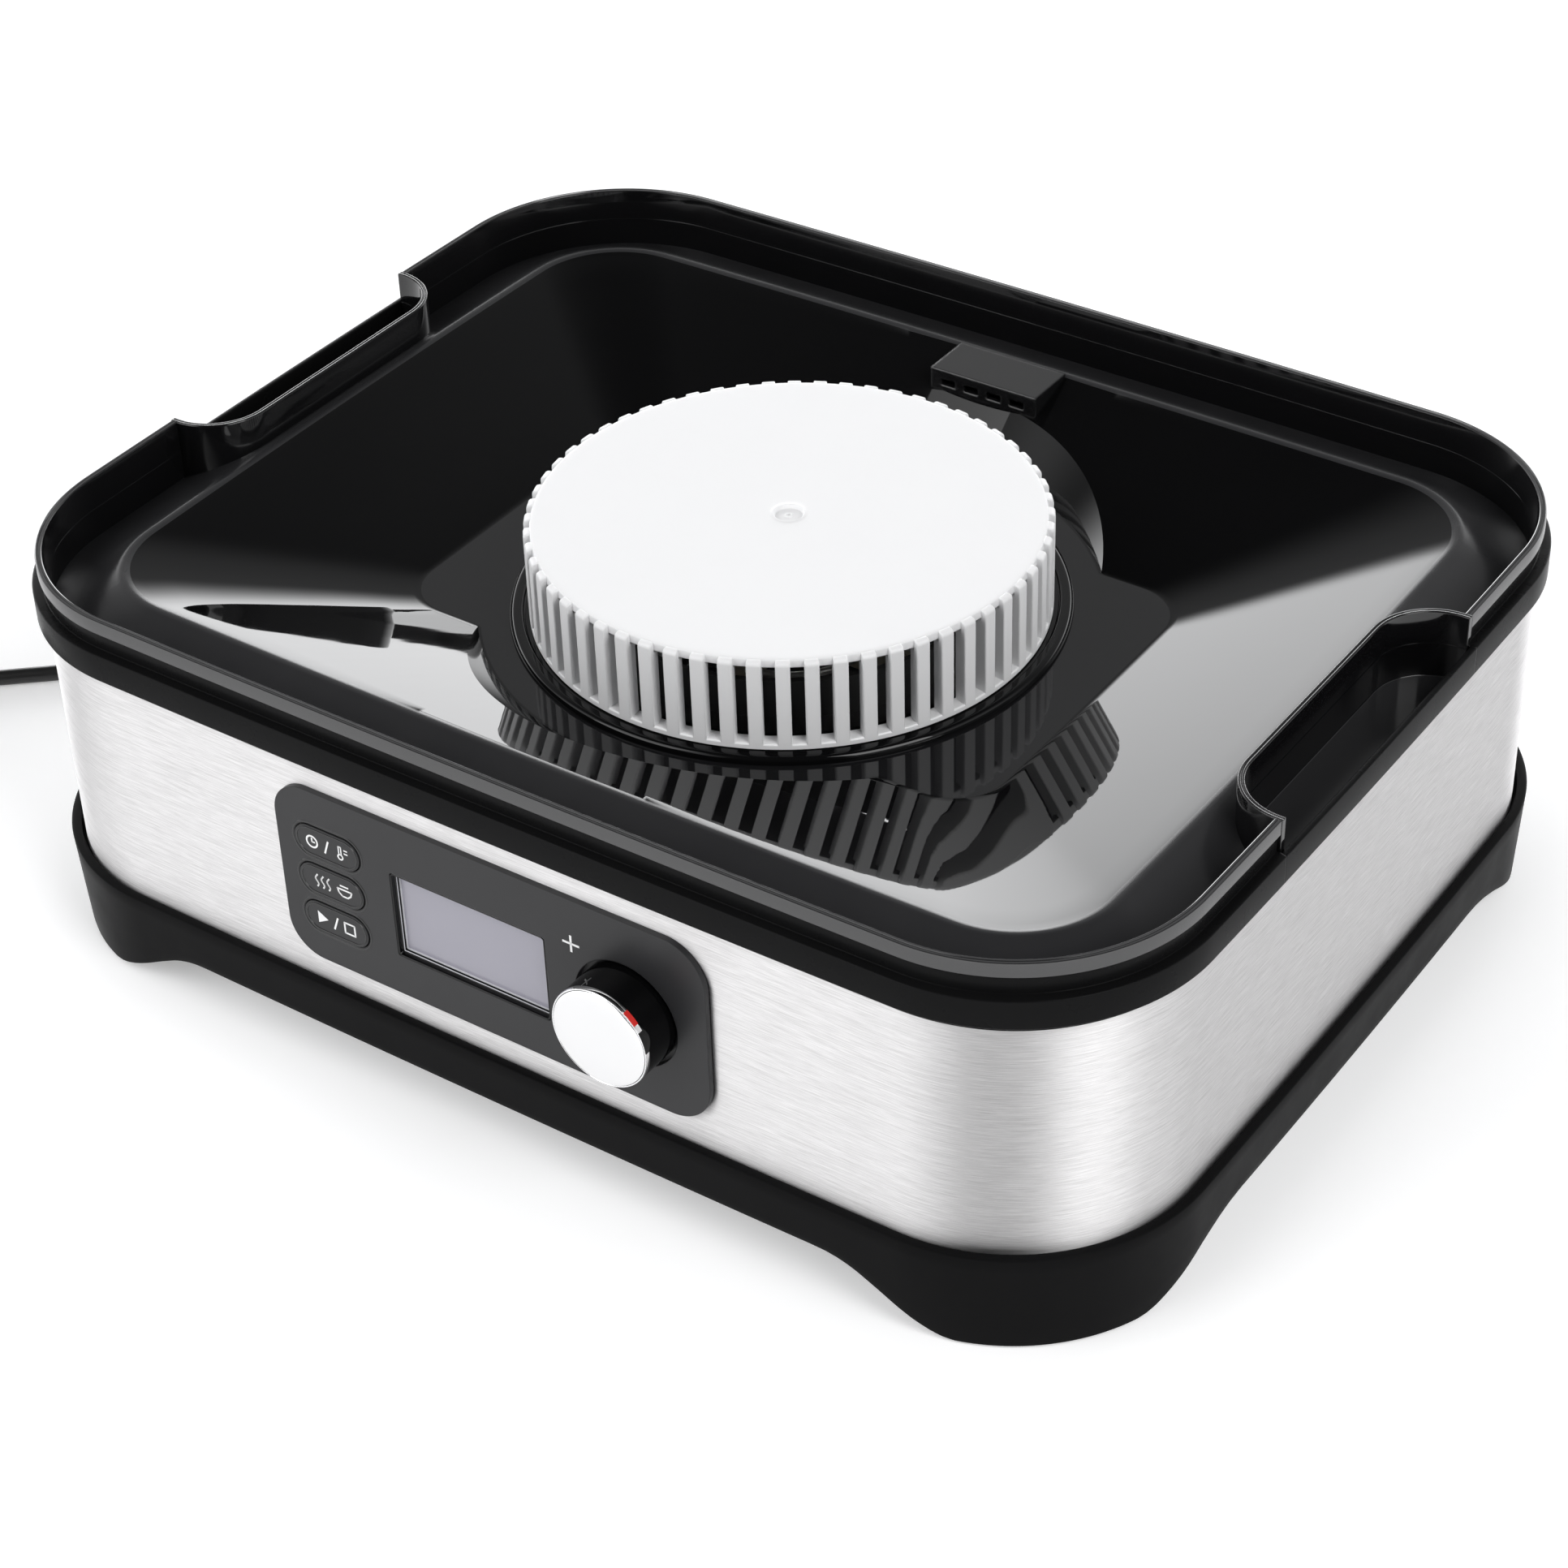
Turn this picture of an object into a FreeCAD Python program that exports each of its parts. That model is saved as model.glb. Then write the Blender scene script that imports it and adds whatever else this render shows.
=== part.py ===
import FreeCAD, Part
import math
import os

os.makedirs("parts", exist_ok=True)

V = FreeCAD.Vector
doc = FreeCAD.newDocument("food_dehydrator")

# ---------------------------------------------------------------- dimensions
DIMS = [
    ("footprint_shift_y", 4.9),
    ("half_length", 200.0), ("half_depth", 158.1), ("side_bow", 1.87), ("corner_radius", 62.2),
    ("flange_bottom", 115.9), ("flange_top", 125.5), ("rim_top", 136.2), ("rim_band_bottom", 131.4),
    ("rim_inset", 2.31), ("rim_step", 1.0), ("rim_inner_inset", 4.58), ("trough_level", 115.5),
    ("crest_half_length", 172.03), ("crest_half_depth", 130.13), ("crest_radius", 32.2), ("crest_level", 125.8),
    ("plateau_half_length", 106.0), ("plateau_half_depth", 63.0), ("plateau_radius", 17.0), ("plateau_level", 104.5),
    ("well_radius", 97.0), ("well_flare", 25.0), ("deck_wall", 2.5), ("outlet_radius", 70.0),
    ("grip_face_x", 179.8), ("grip_straight", 38.0), ("grip_radius", 18.0), ("grip_wall", 2.2), ("grip_floor", 113.8),
    ("steel_inset", 3.02), ("steel_gauge", 0.8), ("steel_bottom", 31.0), ("steel_top", 117.4),
    ("tray_radius", 62.3), ("tray_lip_top", 35.0), ("tray_lip_outset", 1.28), ("tray_foot_inset", 0.46),
    ("tray_floor_low", 17.8), ("tray_floor_high", 20.3), ("tray_wall_low", 0.8), ("arch_top", 17.7), ("side_arch_top", 16.4),
    ("leg_split", 16.0), ("pad_height", 2.0), ("pad_radius", 7.0), ("pad_x", 168.0), ("pad_y", 127.0),
    ("cap_radius", 81.0), ("cap_top", 136.1), ("cap_bottom", 105.5), ("cap_rib_depth", 4.6), ("cap_slot", 4.1), ("cap_slots", 60.0),
    ("cap_plate", 2.6), ("cap_ring", 2.1), ("collar_radius", 87.0), ("collar_top", 107.0),
    ("housing_left", -19.5), ("housing_right", 20.5), ("housing_front", 111.0), ("housing_back", 130.0), ("housing_top", 127.0),
    ("panel_left", -74.6), ("panel_right", 79.2), ("panel_low", 43.6), ("panel_high", 106.6),
    ("panel_back", 156.95), ("panel_proud", 1.8), ("panel_boss", 1.75), ("panel_frame", 10.2),
    ("panel_front", 158.75), ("board_front", 145.0), ("board_gauge", 1.6),
    ("button_width", 24.2), ("button_height", 11.0), ("button_gap", 0.35), ("button_x", -55.4),
    ("button_upper_z", 88.4), ("button_pitch", 14.15), ("button_proud", 0.3), ("button_body", 4.05), ("button_travel", 0.8),
    ("lcd_left", -32.3), ("lcd_right", 23.8), ("lcd_low", 58.2), ("lcd_high", 88.7), ("lcd_recess", 2.45), ("lcd_gauge", 1.0),
    ("knob_x", 51.25), ("knob_z", 73.6), ("knob_radius", 16.34), ("knob_recess", 17.7), ("knob_front", 171.0), ("knob_back", 156.7),
    ("knob_face_radius", 15.4), ("knob_face_gauge", 1.2), ("encoder_shaft_radius", 3.0), ("encoder_bore", 3.05),
    ("motor_radius", 24.0), ("motor_low", 30.0), ("motor_high", 62.0), ("shaft_radius", 2.5), ("shaft_bore", 2.55),
    ("duct_radius", 72.0), ("duct_wall", 2.5), ("duct_low", 50.0), ("duct_high", 102.0),
    ("hub_radius", 16.0), ("hub_low", 68.0), ("hub_high", 84.0), ("blade_tip", 66.0), ("blade_gauge", 2.2),
    ("cord_diameter", 5.6), ("coil_radius", 30.0), ("coil_x", -320.7), ("coil_y", -128.8),
    ("gland_x", -120.0), ("gland_z", 25.5), ("gland_radius", 4.1), ("relief_length", 32.0),
]
sheet = doc.addObject("Spreadsheet::Sheet", "Params")
for row, (name, number) in enumerate(DIMS, 1):
    sheet.set("A%d" % row, name)
    sheet.set("B%d" % row, str(number))
    sheet.setAlias("B%d" % row, name)
doc.recompute()


def val(name):
    return float(sheet.get(name))


def expr(text):
    return str(text).replace("$", "Params.")


EXPORTS = []


def out(obj, label):
    obj.Label = label
    EXPORTS.append((obj, label))
    return obj


# ------------------------------------------------------ primitives, all bound
def bind_base(obj, x, y, z):
    obj.setExpression("Placement.Base.x", expr(x))
    obj.setExpression("Placement.Base.y", expr(y))
    obj.setExpression("Placement.Base.z", expr(z))


def box(name, x0, x1, y0, y1, z0, z1):
    b = doc.addObject("Part::Box", name)
    b.setExpression("Length", expr("(%s) - (%s)" % (x1, x0)))
    b.setExpression("Width", expr("(%s) - (%s)" % (y1, y0)))
    b.setExpression("Height", expr("(%s) - (%s)" % (z1, z0)))
    bind_base(b, x0, y0, z0)
    return b


def cyl(name, radius, height, x, y, z, along="Z"):
    c = doc.addObject("Part::Cylinder", name)
    c.setExpression("Radius", expr(radius))
    c.setExpression("Height", expr(height))
    if along == "Y":
        c.Placement = FreeCAD.Placement(V(0, 0, 0), FreeCAD.Rotation(V(1, 0, 0), -90))
    if along == "X":
        c.Placement = FreeCAD.Placement(V(0, 0, 0), FreeCAD.Rotation(V(0, 1, 0), 90))
    bind_base(c, x, y, z)
    return c


def ring(name, major, minor, z):
    t = doc.addObject("Part::Torus", name)
    t.setExpression("Radius1", expr(major))
    t.setExpression("Radius2", expr(minor))
    bind_base(t, 0, 0, z)
    return t


def fuse(name, objs):
    f = doc.addObject("Part::MultiFuse", name)
    f.Shapes = objs
    return f


def cut(name, base, tools):
    c = doc.addObject("Part::Cut", name)
    c.Base = base
    c.Tool = tools[0] if len(tools) == 1 else fuse(name + "_tools", tools)
    return c


def common(name, objs):
    c = doc.addObject("Part::MultiCommon", name)
    c.Shapes = objs
    return c


def group(name, objs):
    g = doc.addObject("Part::Compound", name)
    g.Links = objs
    return g


def feature(name, shape):
    f = doc.addObject("Part::Feature", name)
    f.Shape = shape
    return f


# ------------------------------------------------------- part design helpers
def new_body(name):
    b = doc.addObject("PartDesign::Body", name)
    return b


def origin_plane(b, role):
    for f in b.Origin.OriginFeatures:
        if f.Role == role:
            return f
    raise RuntimeError("no plane " + role)


def sketch(b, name, role, offset, loops):
    s = b.newObject("Sketcher::SketchObject", name)
    s.AttachmentSupport = [(origin_plane(b, role), "")]
    s.MapMode = "FlatFace"
    for loop in loops:
        s.addGeometry(loop, False)
    s.setExpression("AttachmentOffset.Base.z", expr(offset))
    return s


def pad(b, name, profile, length, reverse=False):
    p = b.newObject("PartDesign::Pad", name)
    p.Profile = profile
    p.setExpression("Length", expr(length))
    p.Reversed = reverse
    b.Tip = p
    return p


def pocket(b, name, profile, length, reverse=False):
    p = b.newObject("PartDesign::Pocket", name)
    p.Profile = profile
    p.setExpression("Length", expr(length))
    p.Reversed = reverse
    b.Tip = p
    return p


def arc(cx, cy, r, a0, a1):
    return Part.ArcOfCircle(Part.Circle(V(cx, cy, 0), V(0, 0, 1), r), math.radians(a0), math.radians(a1))


def line(x0, y0, x1, y1):
    return Part.LineSegment(V(x0, y0, 0), V(x1, y1, 0))


def loop_rrect(x0, x1, y0, y1, bl, br, tr, tl):
    return [
        line(x0 + bl, y0, x1 - br, y0), arc(x1 - br, y0 + br, br, 270, 360),
        line(x1, y0 + br, x1, y1 - tr), arc(x1 - tr, y1 - tr, tr, 0, 90),
        line(x1 - tr, y1, x0 + tl, y1), arc(x0 + tl, y1 - tl, tl, 90, 180),
        line(x0, y1 - tl, x0, y0 + bl), arc(x0 + bl, y0 + bl, bl, 180, 270),
    ]


def loop_slot(cx, cy, w, h):
    r = h / 2.0
    a = w / 2.0 - r
    return [
        line(cx - a, cy - r, cx + a, cy - r), arc(cx + a, cy, r, -90, 90),
        line(cx + a, cy + r, cx - a, cy + r), arc(cx - a, cy, r, 90, 270),
    ]


def loop_circle(cx, cy, r):
    return [Part.Circle(V(cx, cy, 0), V(0, 0, 1), r)]


# --------------------------------------- bowed rectangle with tangent corners
def outline(a, b, bow, r, inset, z):
    rf = (a * a + bow * bow) / (2 * bow)
    cf = -(b + bow) + rf
    rr = (b * b + bow * bow) / (2 * bow)
    cr = (a + bow) - rr
    d1, d2 = rf - r, rr - r
    gap = math.hypot(cr, cf)
    ex, ey = cr / gap, -cf / gap
    along = (d1 * d1 - d2 * d2 + gap * gap) / (2 * gap)
    off = math.sqrt(max(d1 * d1 - along * along, 0.0))
    px, py = ex * along, cf + ey * along
    kx, ky = px - off * ey, py + off * ex
    if not (kx > 0 and ky < 0):
        kx, ky = px + off * ey, py - off * ex
    af = math.atan2(ky - cf, kx)
    ar = math.atan2(ky, kx - cr)
    x1, y1 = (rf - inset) * math.cos(af), cf + (rf - inset) * math.sin(af)
    x2, y2 = cr + (rr - inset) * math.cos(ar), (rr - inset) * math.sin(ar)
    am = (af + ar) / 2
    mx, my = kx + (r - inset) * math.cos(am), ky + (r - inset) * math.sin(am)
    fy = cf - (rf - inset)
    rx = cr + (rr - inset)

    def p(x, y):
        return V(x, y, z)

    edges = [
        Part.Arc(p(-x1, y1), p(0, fy), p(x1, y1)).toShape(),
        Part.Arc(p(x1, y1), p(mx, my), p(x2, y2)).toShape(),
        Part.Arc(p(x2, y2), p(rx, 0), p(x2, -y2)).toShape(),
        Part.Arc(p(x2, -y2), p(mx, -my), p(x1, -y1)).toShape(),
        Part.Arc(p(x1, -y1), p(0, -fy), p(-x1, -y1)).toShape(),
        Part.Arc(p(-x1, -y1), p(-mx, -my), p(-x2, -y2)).toShape(),
        Part.Arc(p(-x2, -y2), p(-rx, 0), p(-x2, y2)).toShape(),
        Part.Arc(p(-x2, y2), p(-mx, my), p(-x1, y1)).toShape(),
    ]
    return Part.Wire(edges)


A, B, BOW, RC = val("half_length"), val("half_depth"), val("side_bow"), val("corner_radius")
RT = val("tray_radius")


def body_line(inset, z, r=None):
    return outline(A, B, BOW, RC if r is None else r, inset, z)


def crest_line(inset, z):
    return outline(val("crest_half_length"), val("crest_half_depth"), BOW, val("crest_radius"), inset, z)


def plateau_line(inset, z):
    return outline(val("plateau_half_length"), val("plateau_half_depth"), 0.3, val("plateau_radius"), inset, z)


def prism(inset, z0, z1, r=None):
    return Part.Face(body_line(inset, z0, r)).extrude(V(0, 0, z1 - z0))


def band(i0, i1, z0, z1, r=None):
    return prism(i0, z0, z1, r).cut(prism(i1, z0 - 1, z1 + 1, r))


def loft(w0, w1):
    return Part.makeLoft([w0, w1], True, True)


# ------------------------------------------------------------------- the deck
ft, rt, rb = val("flange_top"), val("rim_top"), val("rim_band_bottom")
ri, rs, rin = val("rim_inset"), val("rim_step"), val("rim_inner_inset")
tl, cl, pl = val("trough_level"), val("crest_level"), val("plateau_level")
wall = val("deck_wall")
wr, wf = val("well_radius"), val("well_flare")

skin = prism(0, 85, ft)
skin = skin.fuse([prism(ri + rs, ft - 1, rb), prism(ri, rb, rt)])
skin = skin.cut(prism(rin, tl, rt + 5))
skin = skin.fuse(loft(body_line(rin, tl), crest_line(0, cl)))
funnel = loft(plateau_line(0, pl), crest_line(0.8, cl))
well = Part.makeCone(wr, wr + wf, wf, V(0, 0, pl))
skin = skin.cut([funnel, well])

under = prism(-2, 60, tl - wall)
under = under.fuse(loft(body_line(rin + 2.6, tl - wall - 0.1), crest_line(0, cl - wall)))
funnel_low = loft(plateau_line(-1.0, pl - wall), crest_line(-1.2, cl - wall + 0.4))
well_low = Part.makeCone(wr + 1.0, wr + 1.0 + wf, wf, V(0, 0, pl - wall))
under = under.cut([funnel_low, well_low])

deck = skin.cut(under)
deck = deck.cut(band(-2, 2.8, 60, val("flange_bottom")))
deck = deck.cut(band(2.8, 3.95, 60, val("flange_bottom") + 2.0))

gx, gs, gr, gw, gf = val("grip_face_x"), val("grip_straight"), val("grip_radius"), val("grip_wall"), val("grip_floor")


def grip(side, grow, z0, z1):
    h = z1 - z0
    gc = gx + gr
    parts = []
    a = Part.makeBox(60, 2 * gs, h, V(gx - grow, -gs, z0))
    b = Part.makeCylinder(gr + grow, h, V(gc, gs, z0))
    c = Part.makeCylinder(gr + grow, h, V(gc, -gs, z0))
    d = Part.makeBox(40, 2 * (gs + gr + grow), h, V(gc, -(gs + gr + grow), z0))
    s = a.fuse([b, c, d]).removeSplitter()
    if side < 0:
        s = s.mirror(V(0, 0, 0), V(1, 0, 0))
    return s


for side in (1, -1):
    block = grip(side, gw, gf - wall, val("flange_bottom") + 2.0).common(prism(3.95, gf - wall, 125))
    upper = grip(side, gw, val("flange_bottom") + 2.0, rt).common(prism(ri, 110, rt))
    deck = deck.fuse([block, upper])
for side in (1, -1):
    low = grip(side, 0, gf, rt + 5).common(prism(5.0, gf - 1, rt + 6))
    high = grip(side, 0, val("flange_bottom") + 2.3, rt + 5).common(prism(2.0, 110, rt + 6))
    deck = deck.cut([low, high])
deck = deck.cut(Part.makeCylinder(val("outlet_radius"), 60, V(0, 0, 80)))
for sx in (1, -1):
    for sy in (1, -1):
        post = Part.makeCylinder(5, 90.0 - val("tray_floor_high"), V(150 * sx, 100 * sy, val("tray_floor_high")))
        post = post.fuse(Part.makeCylinder(5, 40.0, V(150 * sx, 100 * sy, 86)).common(skin)).removeSplitter()
        bore = Part.makeCylinder(1.75, 24, V(150 * sx, 100 * sy, 19))
        deck = deck.fuse(post).cut(bore)

edge_zone = band(-3, 5.0, 100, 140)
rim_part = deck.common(edge_zone)
grip_parts = []
for side in (1, -1):
    zone = grip(side, gw, gf - wall, rt + 1).cut(edge_zone)
    grip_parts.append(deck.common(zone))
pan_part = deck.cut([edge_zone] + [grip(side, gw, gf - wall, rt + 1) for side in (1, -1)])
out(feature("DeckPan", pan_part), "deck_pan")
out(feature("DeckRim", rim_part), "deck_rim")
out(feature("RightGrip", grip_parts[0]), "right_grip_wall")
out(feature("LeftGrip", grip_parts[1]), "left_grip_wall")

# -------------------------------------------------------------- sensor housing
hl, hr, hf, hb, ht = val("housing_left"), val("housing_right"), val("housing_front"), val("housing_back"), val("housing_top")
shell = Part.makeBox(hr - hl, hb - hf, ht - 112, V(hl, hf, 112)).cut(skin)
cavity = Part.makeBox(hr - hl - 4, hb - hf - 4, ht - 1.8 - 112, V(hl + 2, hf + 2, 112))
shell = shell.cut(cavity)
for i in range(4):
    shell = shell.cut(Part.makeBox(5.4, 4, 2.4, V(hl + 4.0 + 8.7 * i, hf - 1, 121.4)))
out(feature("SensorHousing", shell), "sensor_housing")
out(cyl("TempSensor", 1.6, 2.9, 0.5, "$housing_front + 6", 122.3), "temperature_sensor")

# ------------------------------------------------------------------ steel band
st_i, st_t = val("steel_inset"), val("steel_gauge")
steel = band(st_i, st_i + st_t, val("steel_bottom"), val("steel_top"))
steel = steel.cut(Part.makeBox(145, 20, 54, V(-70.2, -165, 47.8)))
out(feature("SteelBand", steel), "steel_band")

# ------------------------------------------------------------------- base tray
tz = val("tray_wall_low")
tray = loft(body_line(val("tray_foot_inset"), tz, RT), body_line(-val("tray_lip_outset"), val("tray_lip_top"), RT))
tray = tray.cut(prism(6.2, val("tray_floor_high"), 40, RT))
tray = tray.cut(band(1.9, 3.95, val("steel_bottom"), 40))
tray = tray.cut(prism(4.2, -5, val("tray_floor_low"), RT))


def arch(points, top, reach):
    pts = [V(x, 0, z) for x, z in points]
    sp = Part.BSplineCurve()
    sp.interpolate(Points=pts, InitialTangent=V(1, 0, 0), FinalTangent=V(1, 0, -0.25))
    right = sp.toShape()
    left = right.mirror(V(0, 0, 0), V(1, 0, 0))
    x_in, x_out = points[0][0], points[-1][0]
    z_out = points[-1][1]
    edges = [
        Part.LineSegment(V(-x_in, 0, top), V(x_in, 0, top)).toShape(), right,
        Part.LineSegment(V(x_out, 0, z_out), V(x_out, 0, -6)).toShape(),
        Part.LineSegment(V(x_out, 0, -6), V(-x_out, 0, -6)).toShape(),
        Part.LineSegment(V(-x_out, 0, -6), V(-x_out, 0, z_out)).toShape(), left,
    ]
    face = Part.Face(Part.Wire(Part.__sortEdges__(edges)))
    return face.extrude(V(0, 2 * reach, 0)).translated(V(0, -reach, 0))


front_arch = arch([(114, val("arch_top")), (121, 16.9), (128, 14.4), (134, 11.3), (140, 8.0), (146, 4.9), (151, 2.6), (156.5, 0.8)], val("arch_top"), 200)
side_arch = arch([(76, val("side_arch_top")), (86, 14.6), (94, 11.9), (100, 9.3), (106, 6.5), (111, 4.2), (119.5, 0.8)], val("side_arch_top"), 230)
side_arch.rotate(V(0, 0, 0), V(0, 0, 1), 90)
tray = tray.cut([front_arch, side_arch])
px, py, ph = val("pad_x"), val("pad_y"), val("pad_height")
for sx in (1, -1):
    for sy in (1, -1):
        tray = tray.fuse(Part.makeCylinder(8, val("tray_floor_low") + 0.5 - ph, V(px * sx, py * sy, ph)))
        tray = tray.cut(Part.makeCylinder(2.3, 12, V(150 * sx, 100 * sy, 12)))
tray = tray.cut(Part.makeCylinder(58, 12, V(0, 0, 14)))
for x, y in ((-184, -54), (-96, -54), (-184, 54), (-96, 54)):
    tray = tray.fuse(Part.makeCylinder(3.0, 26.0 - 20.0, V(x, y, 20.0)))
tray = tray.cut(Part.makeCylinder(val("gland_radius"), 20, V(val("gland_x"), 148, val("gland_z")), V(0, 1, 0)))
tray = tray.removeSplitter()
low_zone = Part.makeBox(500, 500, 30, V(-250, -250, val("leg_split") - 30))
out(feature("BaseTray", tray.cut(low_zone)), "base_tray")
for nm, qx, qy in (("front_left", -250, -250), ("front_right", 0, -250), ("rear_left", -250, 0), ("rear_right", 0, 0)):
    quarter = Part.makeBox(250, 250, 30, V(qx, qy, val("leg_split") - 30))
    leg = tray.common(quarter)
    leg = max(leg.Solids, key=lambda q: q.Volume)
    out(feature("Leg_" + nm, leg), "leg_" + nm)

pads = [cyl("Pad%d" % i, "$pad_radius", "$pad_height", "%s$pad_x" % sx, "%s$pad_y" % sy, 0)
        for i, (sx, sy) in enumerate((("", ""), ("-", ""), ("", "-"), ("-", "-")))]
out(group("RubberFeet", pads), "rubber_feet")

heads, shanks = [], []
for i, (sx, sy) in enumerate(((1, 1), (-1, 1), (1, -1), (-1, -1))):
    h = cyl("ScrewHead%d" % i, 4, 2.4, 150 * sx, 100 * sy, "$tray_floor_low - 2.4")
    s = cyl("ScrewShank%d" % i, 1.74, 22, 150 * sx, 100 * sy, "$tray_floor_low - 0.4")
    heads.append(fuse("BottomScrew%d" % i, [h, s]))
out(group("BottomScrews", heads), "bottom_screws")

# --------------------------------------------------------------- intake grille
g = new_body("IntakeGrille")
gs0 = sketch(g, "GrilleDisc", "XY_Plane", "$tray_floor_high", [loop_circle(0, 0, 64)])
pad(g, "GrillePad", gs0, "2")
slots = []
for k in range(-5, 6):
    y = 9.6 * k
    half = math.sqrt(54.0 ** 2 - y * y) - 2
    if half > 8:
        slots.append(loop_slot(0, y, 2 * half, 5.2))
gs1 = sketch(g, "GrilleSlots", "XY_Plane", "$tray_floor_high + 2", slots)
pocket(g, "GrillePocket", gs1, "2")
out(g, "intake_grille")

# --------------------------------------------------------- outlet collar, guard
cr_, ct_ = val("collar_radius"), val("collar_top")
c = new_body("OutletCollar")
s = c.newObject("Sketcher::SketchObject", "CollarProfile")
s.AttachmentSupport = [(origin_plane(c, "XZ_Plane"), "")]
s.MapMode = "FlatFace"
prof = [(71, pl), (cr_, pl), (cr_, pl + 1.3), (cr_ - 1.6, pl + 1.3), (cr_ - 1.6, ct_ - 0.3), (cr_ - 2.0, ct_),
        (81.6, ct_), (81.3, ct_ - 0.3), (81.3, pl + 1.0), (71, pl + 1.0)]
for i in range(len(prof)):
    q = prof[(i + 1) % len(prof)]
    s.addGeometry(line(prof[i][0], prof[i][1], q[0], q[1]), False)
r = c.newObject("PartDesign::Revolution", "CollarTurn")
r.Profile = s
r.ReferenceAxis = (s, ["V_Axis"])
r.Angle = 360
c.Tip = r
out(c, "outlet_collar")

guard = [cut("GuardRing", cyl("GuardOuter", 66, 14, 0, 0, "$plateau_level + 1.0"), [cyl("GuardInner", 64, 20, 0, 0, 100)])]
bars = [box("GuardBar0", -64.5, 64.5, -1.2, 1.2, 113.5, 116.5), box("GuardBar1", -1.2, 1.2, -64.5, 64.5, 113.5, 116.5),
        cut("GuardFoot", cyl("GuardFootOuter", 74, 1.2, 0, 0, "$plateau_level + 1.0"), [cyl("GuardFootInner", 65, 20, 0, 0, 100)])]
out(fuse("OutletGuard", guard + bars), "outlet_guard")

# ------------------------------------------------------------------ ribbed cap
cap_r, cap_t, cap_b, cap_d = val("cap_radius"), val("cap_top"), val("cap_bottom"), val("cap_rib_depth")
cp = new_body("DiffuserCap")
s0 = sketch(cp, "CapDisc", "XY_Plane", "$cap_bottom", [loop_circle(0, 0, cap_r)])
pad(cp, "CapPad", s0, "$cap_top - $cap_bottom")
s1 = sketch(cp, "CapInside", "XY_Plane", "$cap_bottom", [loop_circle(0, 0, cap_r - cap_d)])
pocket(cp, "CapHollow", s1, "$cap_top - $cap_bottom - $cap_plate", True)
n = int(val("cap_slots"))
half = val("cap_slot") / 2.0


def slot_loop(k, r0, r1):
    a = math.radians(360.0 / n * k)
    ca, sa = math.cos(a), math.sin(a)

    def w(u, v):
        return (u * ca - v * sa, u * sa + v * ca)

    q = [w(r0, -half), w(r1, -half), w(r1, half), w(r0, half)]
    return [line(q[i][0], q[i][1], q[(i + 1) % 4][0], q[(i + 1) % 4][1]) for i in range(4)]


s2 = sketch(cp, "CapSlots", "XY_Plane", "$cap_bottom + $cap_ring", [slot_loop(k, cap_r - cap_d - 1, cap_r + 1) for k in range(n)])
pocket(cp, "CapSlotCut", s2, "$cap_top - $cap_bottom - $cap_plate - $cap_ring", True)
s3 = sketch(cp, "CapNotches", "XY_Plane", "$cap_top", [slot_loop(k, cap_r - 2.0, cap_r + 1) for k in range(n)])
pocket(cp, "CapNotchCut", s3, "$cap_plate + 0.5")
s4 = sketch(cp, "CapDimple", "XY_Plane", "$cap_top", [loop_circle(0, 0, 5)])
pocket(cp, "CapDimpleCut", s4, "0.5")
out(cp, "air_diffuser_cap")

# --------------------------------------------------------------- control panel
pn = new_body("ControlPanel")
x0, x1, z0, z1 = val("panel_left"), val("panel_right"), val("panel_low"), val("panel_high")
s = sketch(pn, "PanelFace", "XZ_Plane", "$panel_back", [loop_rrect(x0, x1, z0, z1, 12, 14, 14, 12)])
pad(pn, "PanelPlate", s, "$panel_proud")
s = sketch(pn, "PanelBossFace", "XZ_Plane", "$panel_back", [loop_rrect(-69.5, 74.0, 48.6, 101.0, 8, 8, 8, 8)])
pad(pn, "PanelBoss", s, "$panel_boss", True)
s = sketch(pn, "PanelFrameFace", "XZ_Plane", "$panel_back - $panel_boss",
           [loop_rrect(-69.5, 74.0, 48.6, 101.0, 8, 8, 8, 8), loop_rrect(-68.5, 72.0, 50.6, 99.0, 6, 6, 6, 6)])
pad(pn, "PanelFrame", s, "$panel_frame", True)
bx, bz, bp = val("button_x"), val("button_upper_z"), val("button_pitch")
bw, bh, bg = val("button_width"), val("button_height"), val("button_gap")
holes = [loop_slot(bx, bz - bp * i, bw + 2 * bg, bh + 2 * bg) for i in range(3)]
holes.append(loop_rrect(val("lcd_left"), val("lcd_right"), val("lcd_low"), val("lcd_high"), 1, 1, 1, 1))
holes.append(loop_circle(val("knob_x"), val("knob_z"), 3.6))
s = sketch(pn, "PanelHoles", "XZ_Plane", "$panel_front", holes)
pocket(pn, "PanelHoleCut", s, "5")
s = sketch(pn, "PanelKnobWell", "XZ_Plane", "$panel_front", [loop_circle(val("knob_x"), val("knob_z"), val("knob_recess"))])
pocket(pn, "PanelKnobCut", s, "2.4")
out(pn, "control_panel")

w = new_body("LcdWindow")
s = sketch(w, "WindowFace", "XZ_Plane", "$panel_front - $lcd_recess",
           [loop_rrect(val("lcd_left") + 0.1, val("lcd_right") - 0.1, val("lcd_low") + 0.1, val("lcd_high") - 0.1, 0.9, 0.9, 0.9, 0.9)])
pad(w, "WindowPad", s, "$lcd_gauge", True)
out(w, "lcd_window")
out(box("LcdModule", "$lcd_left + 0.5", "$lcd_right - 0.5", "-($panel_front - $lcd_recess - $lcd_gauge)", "-$board_front - 0.0",
        "$lcd_low + 0.5", "$lcd_high - 0.5"), "lcd_module")

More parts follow.
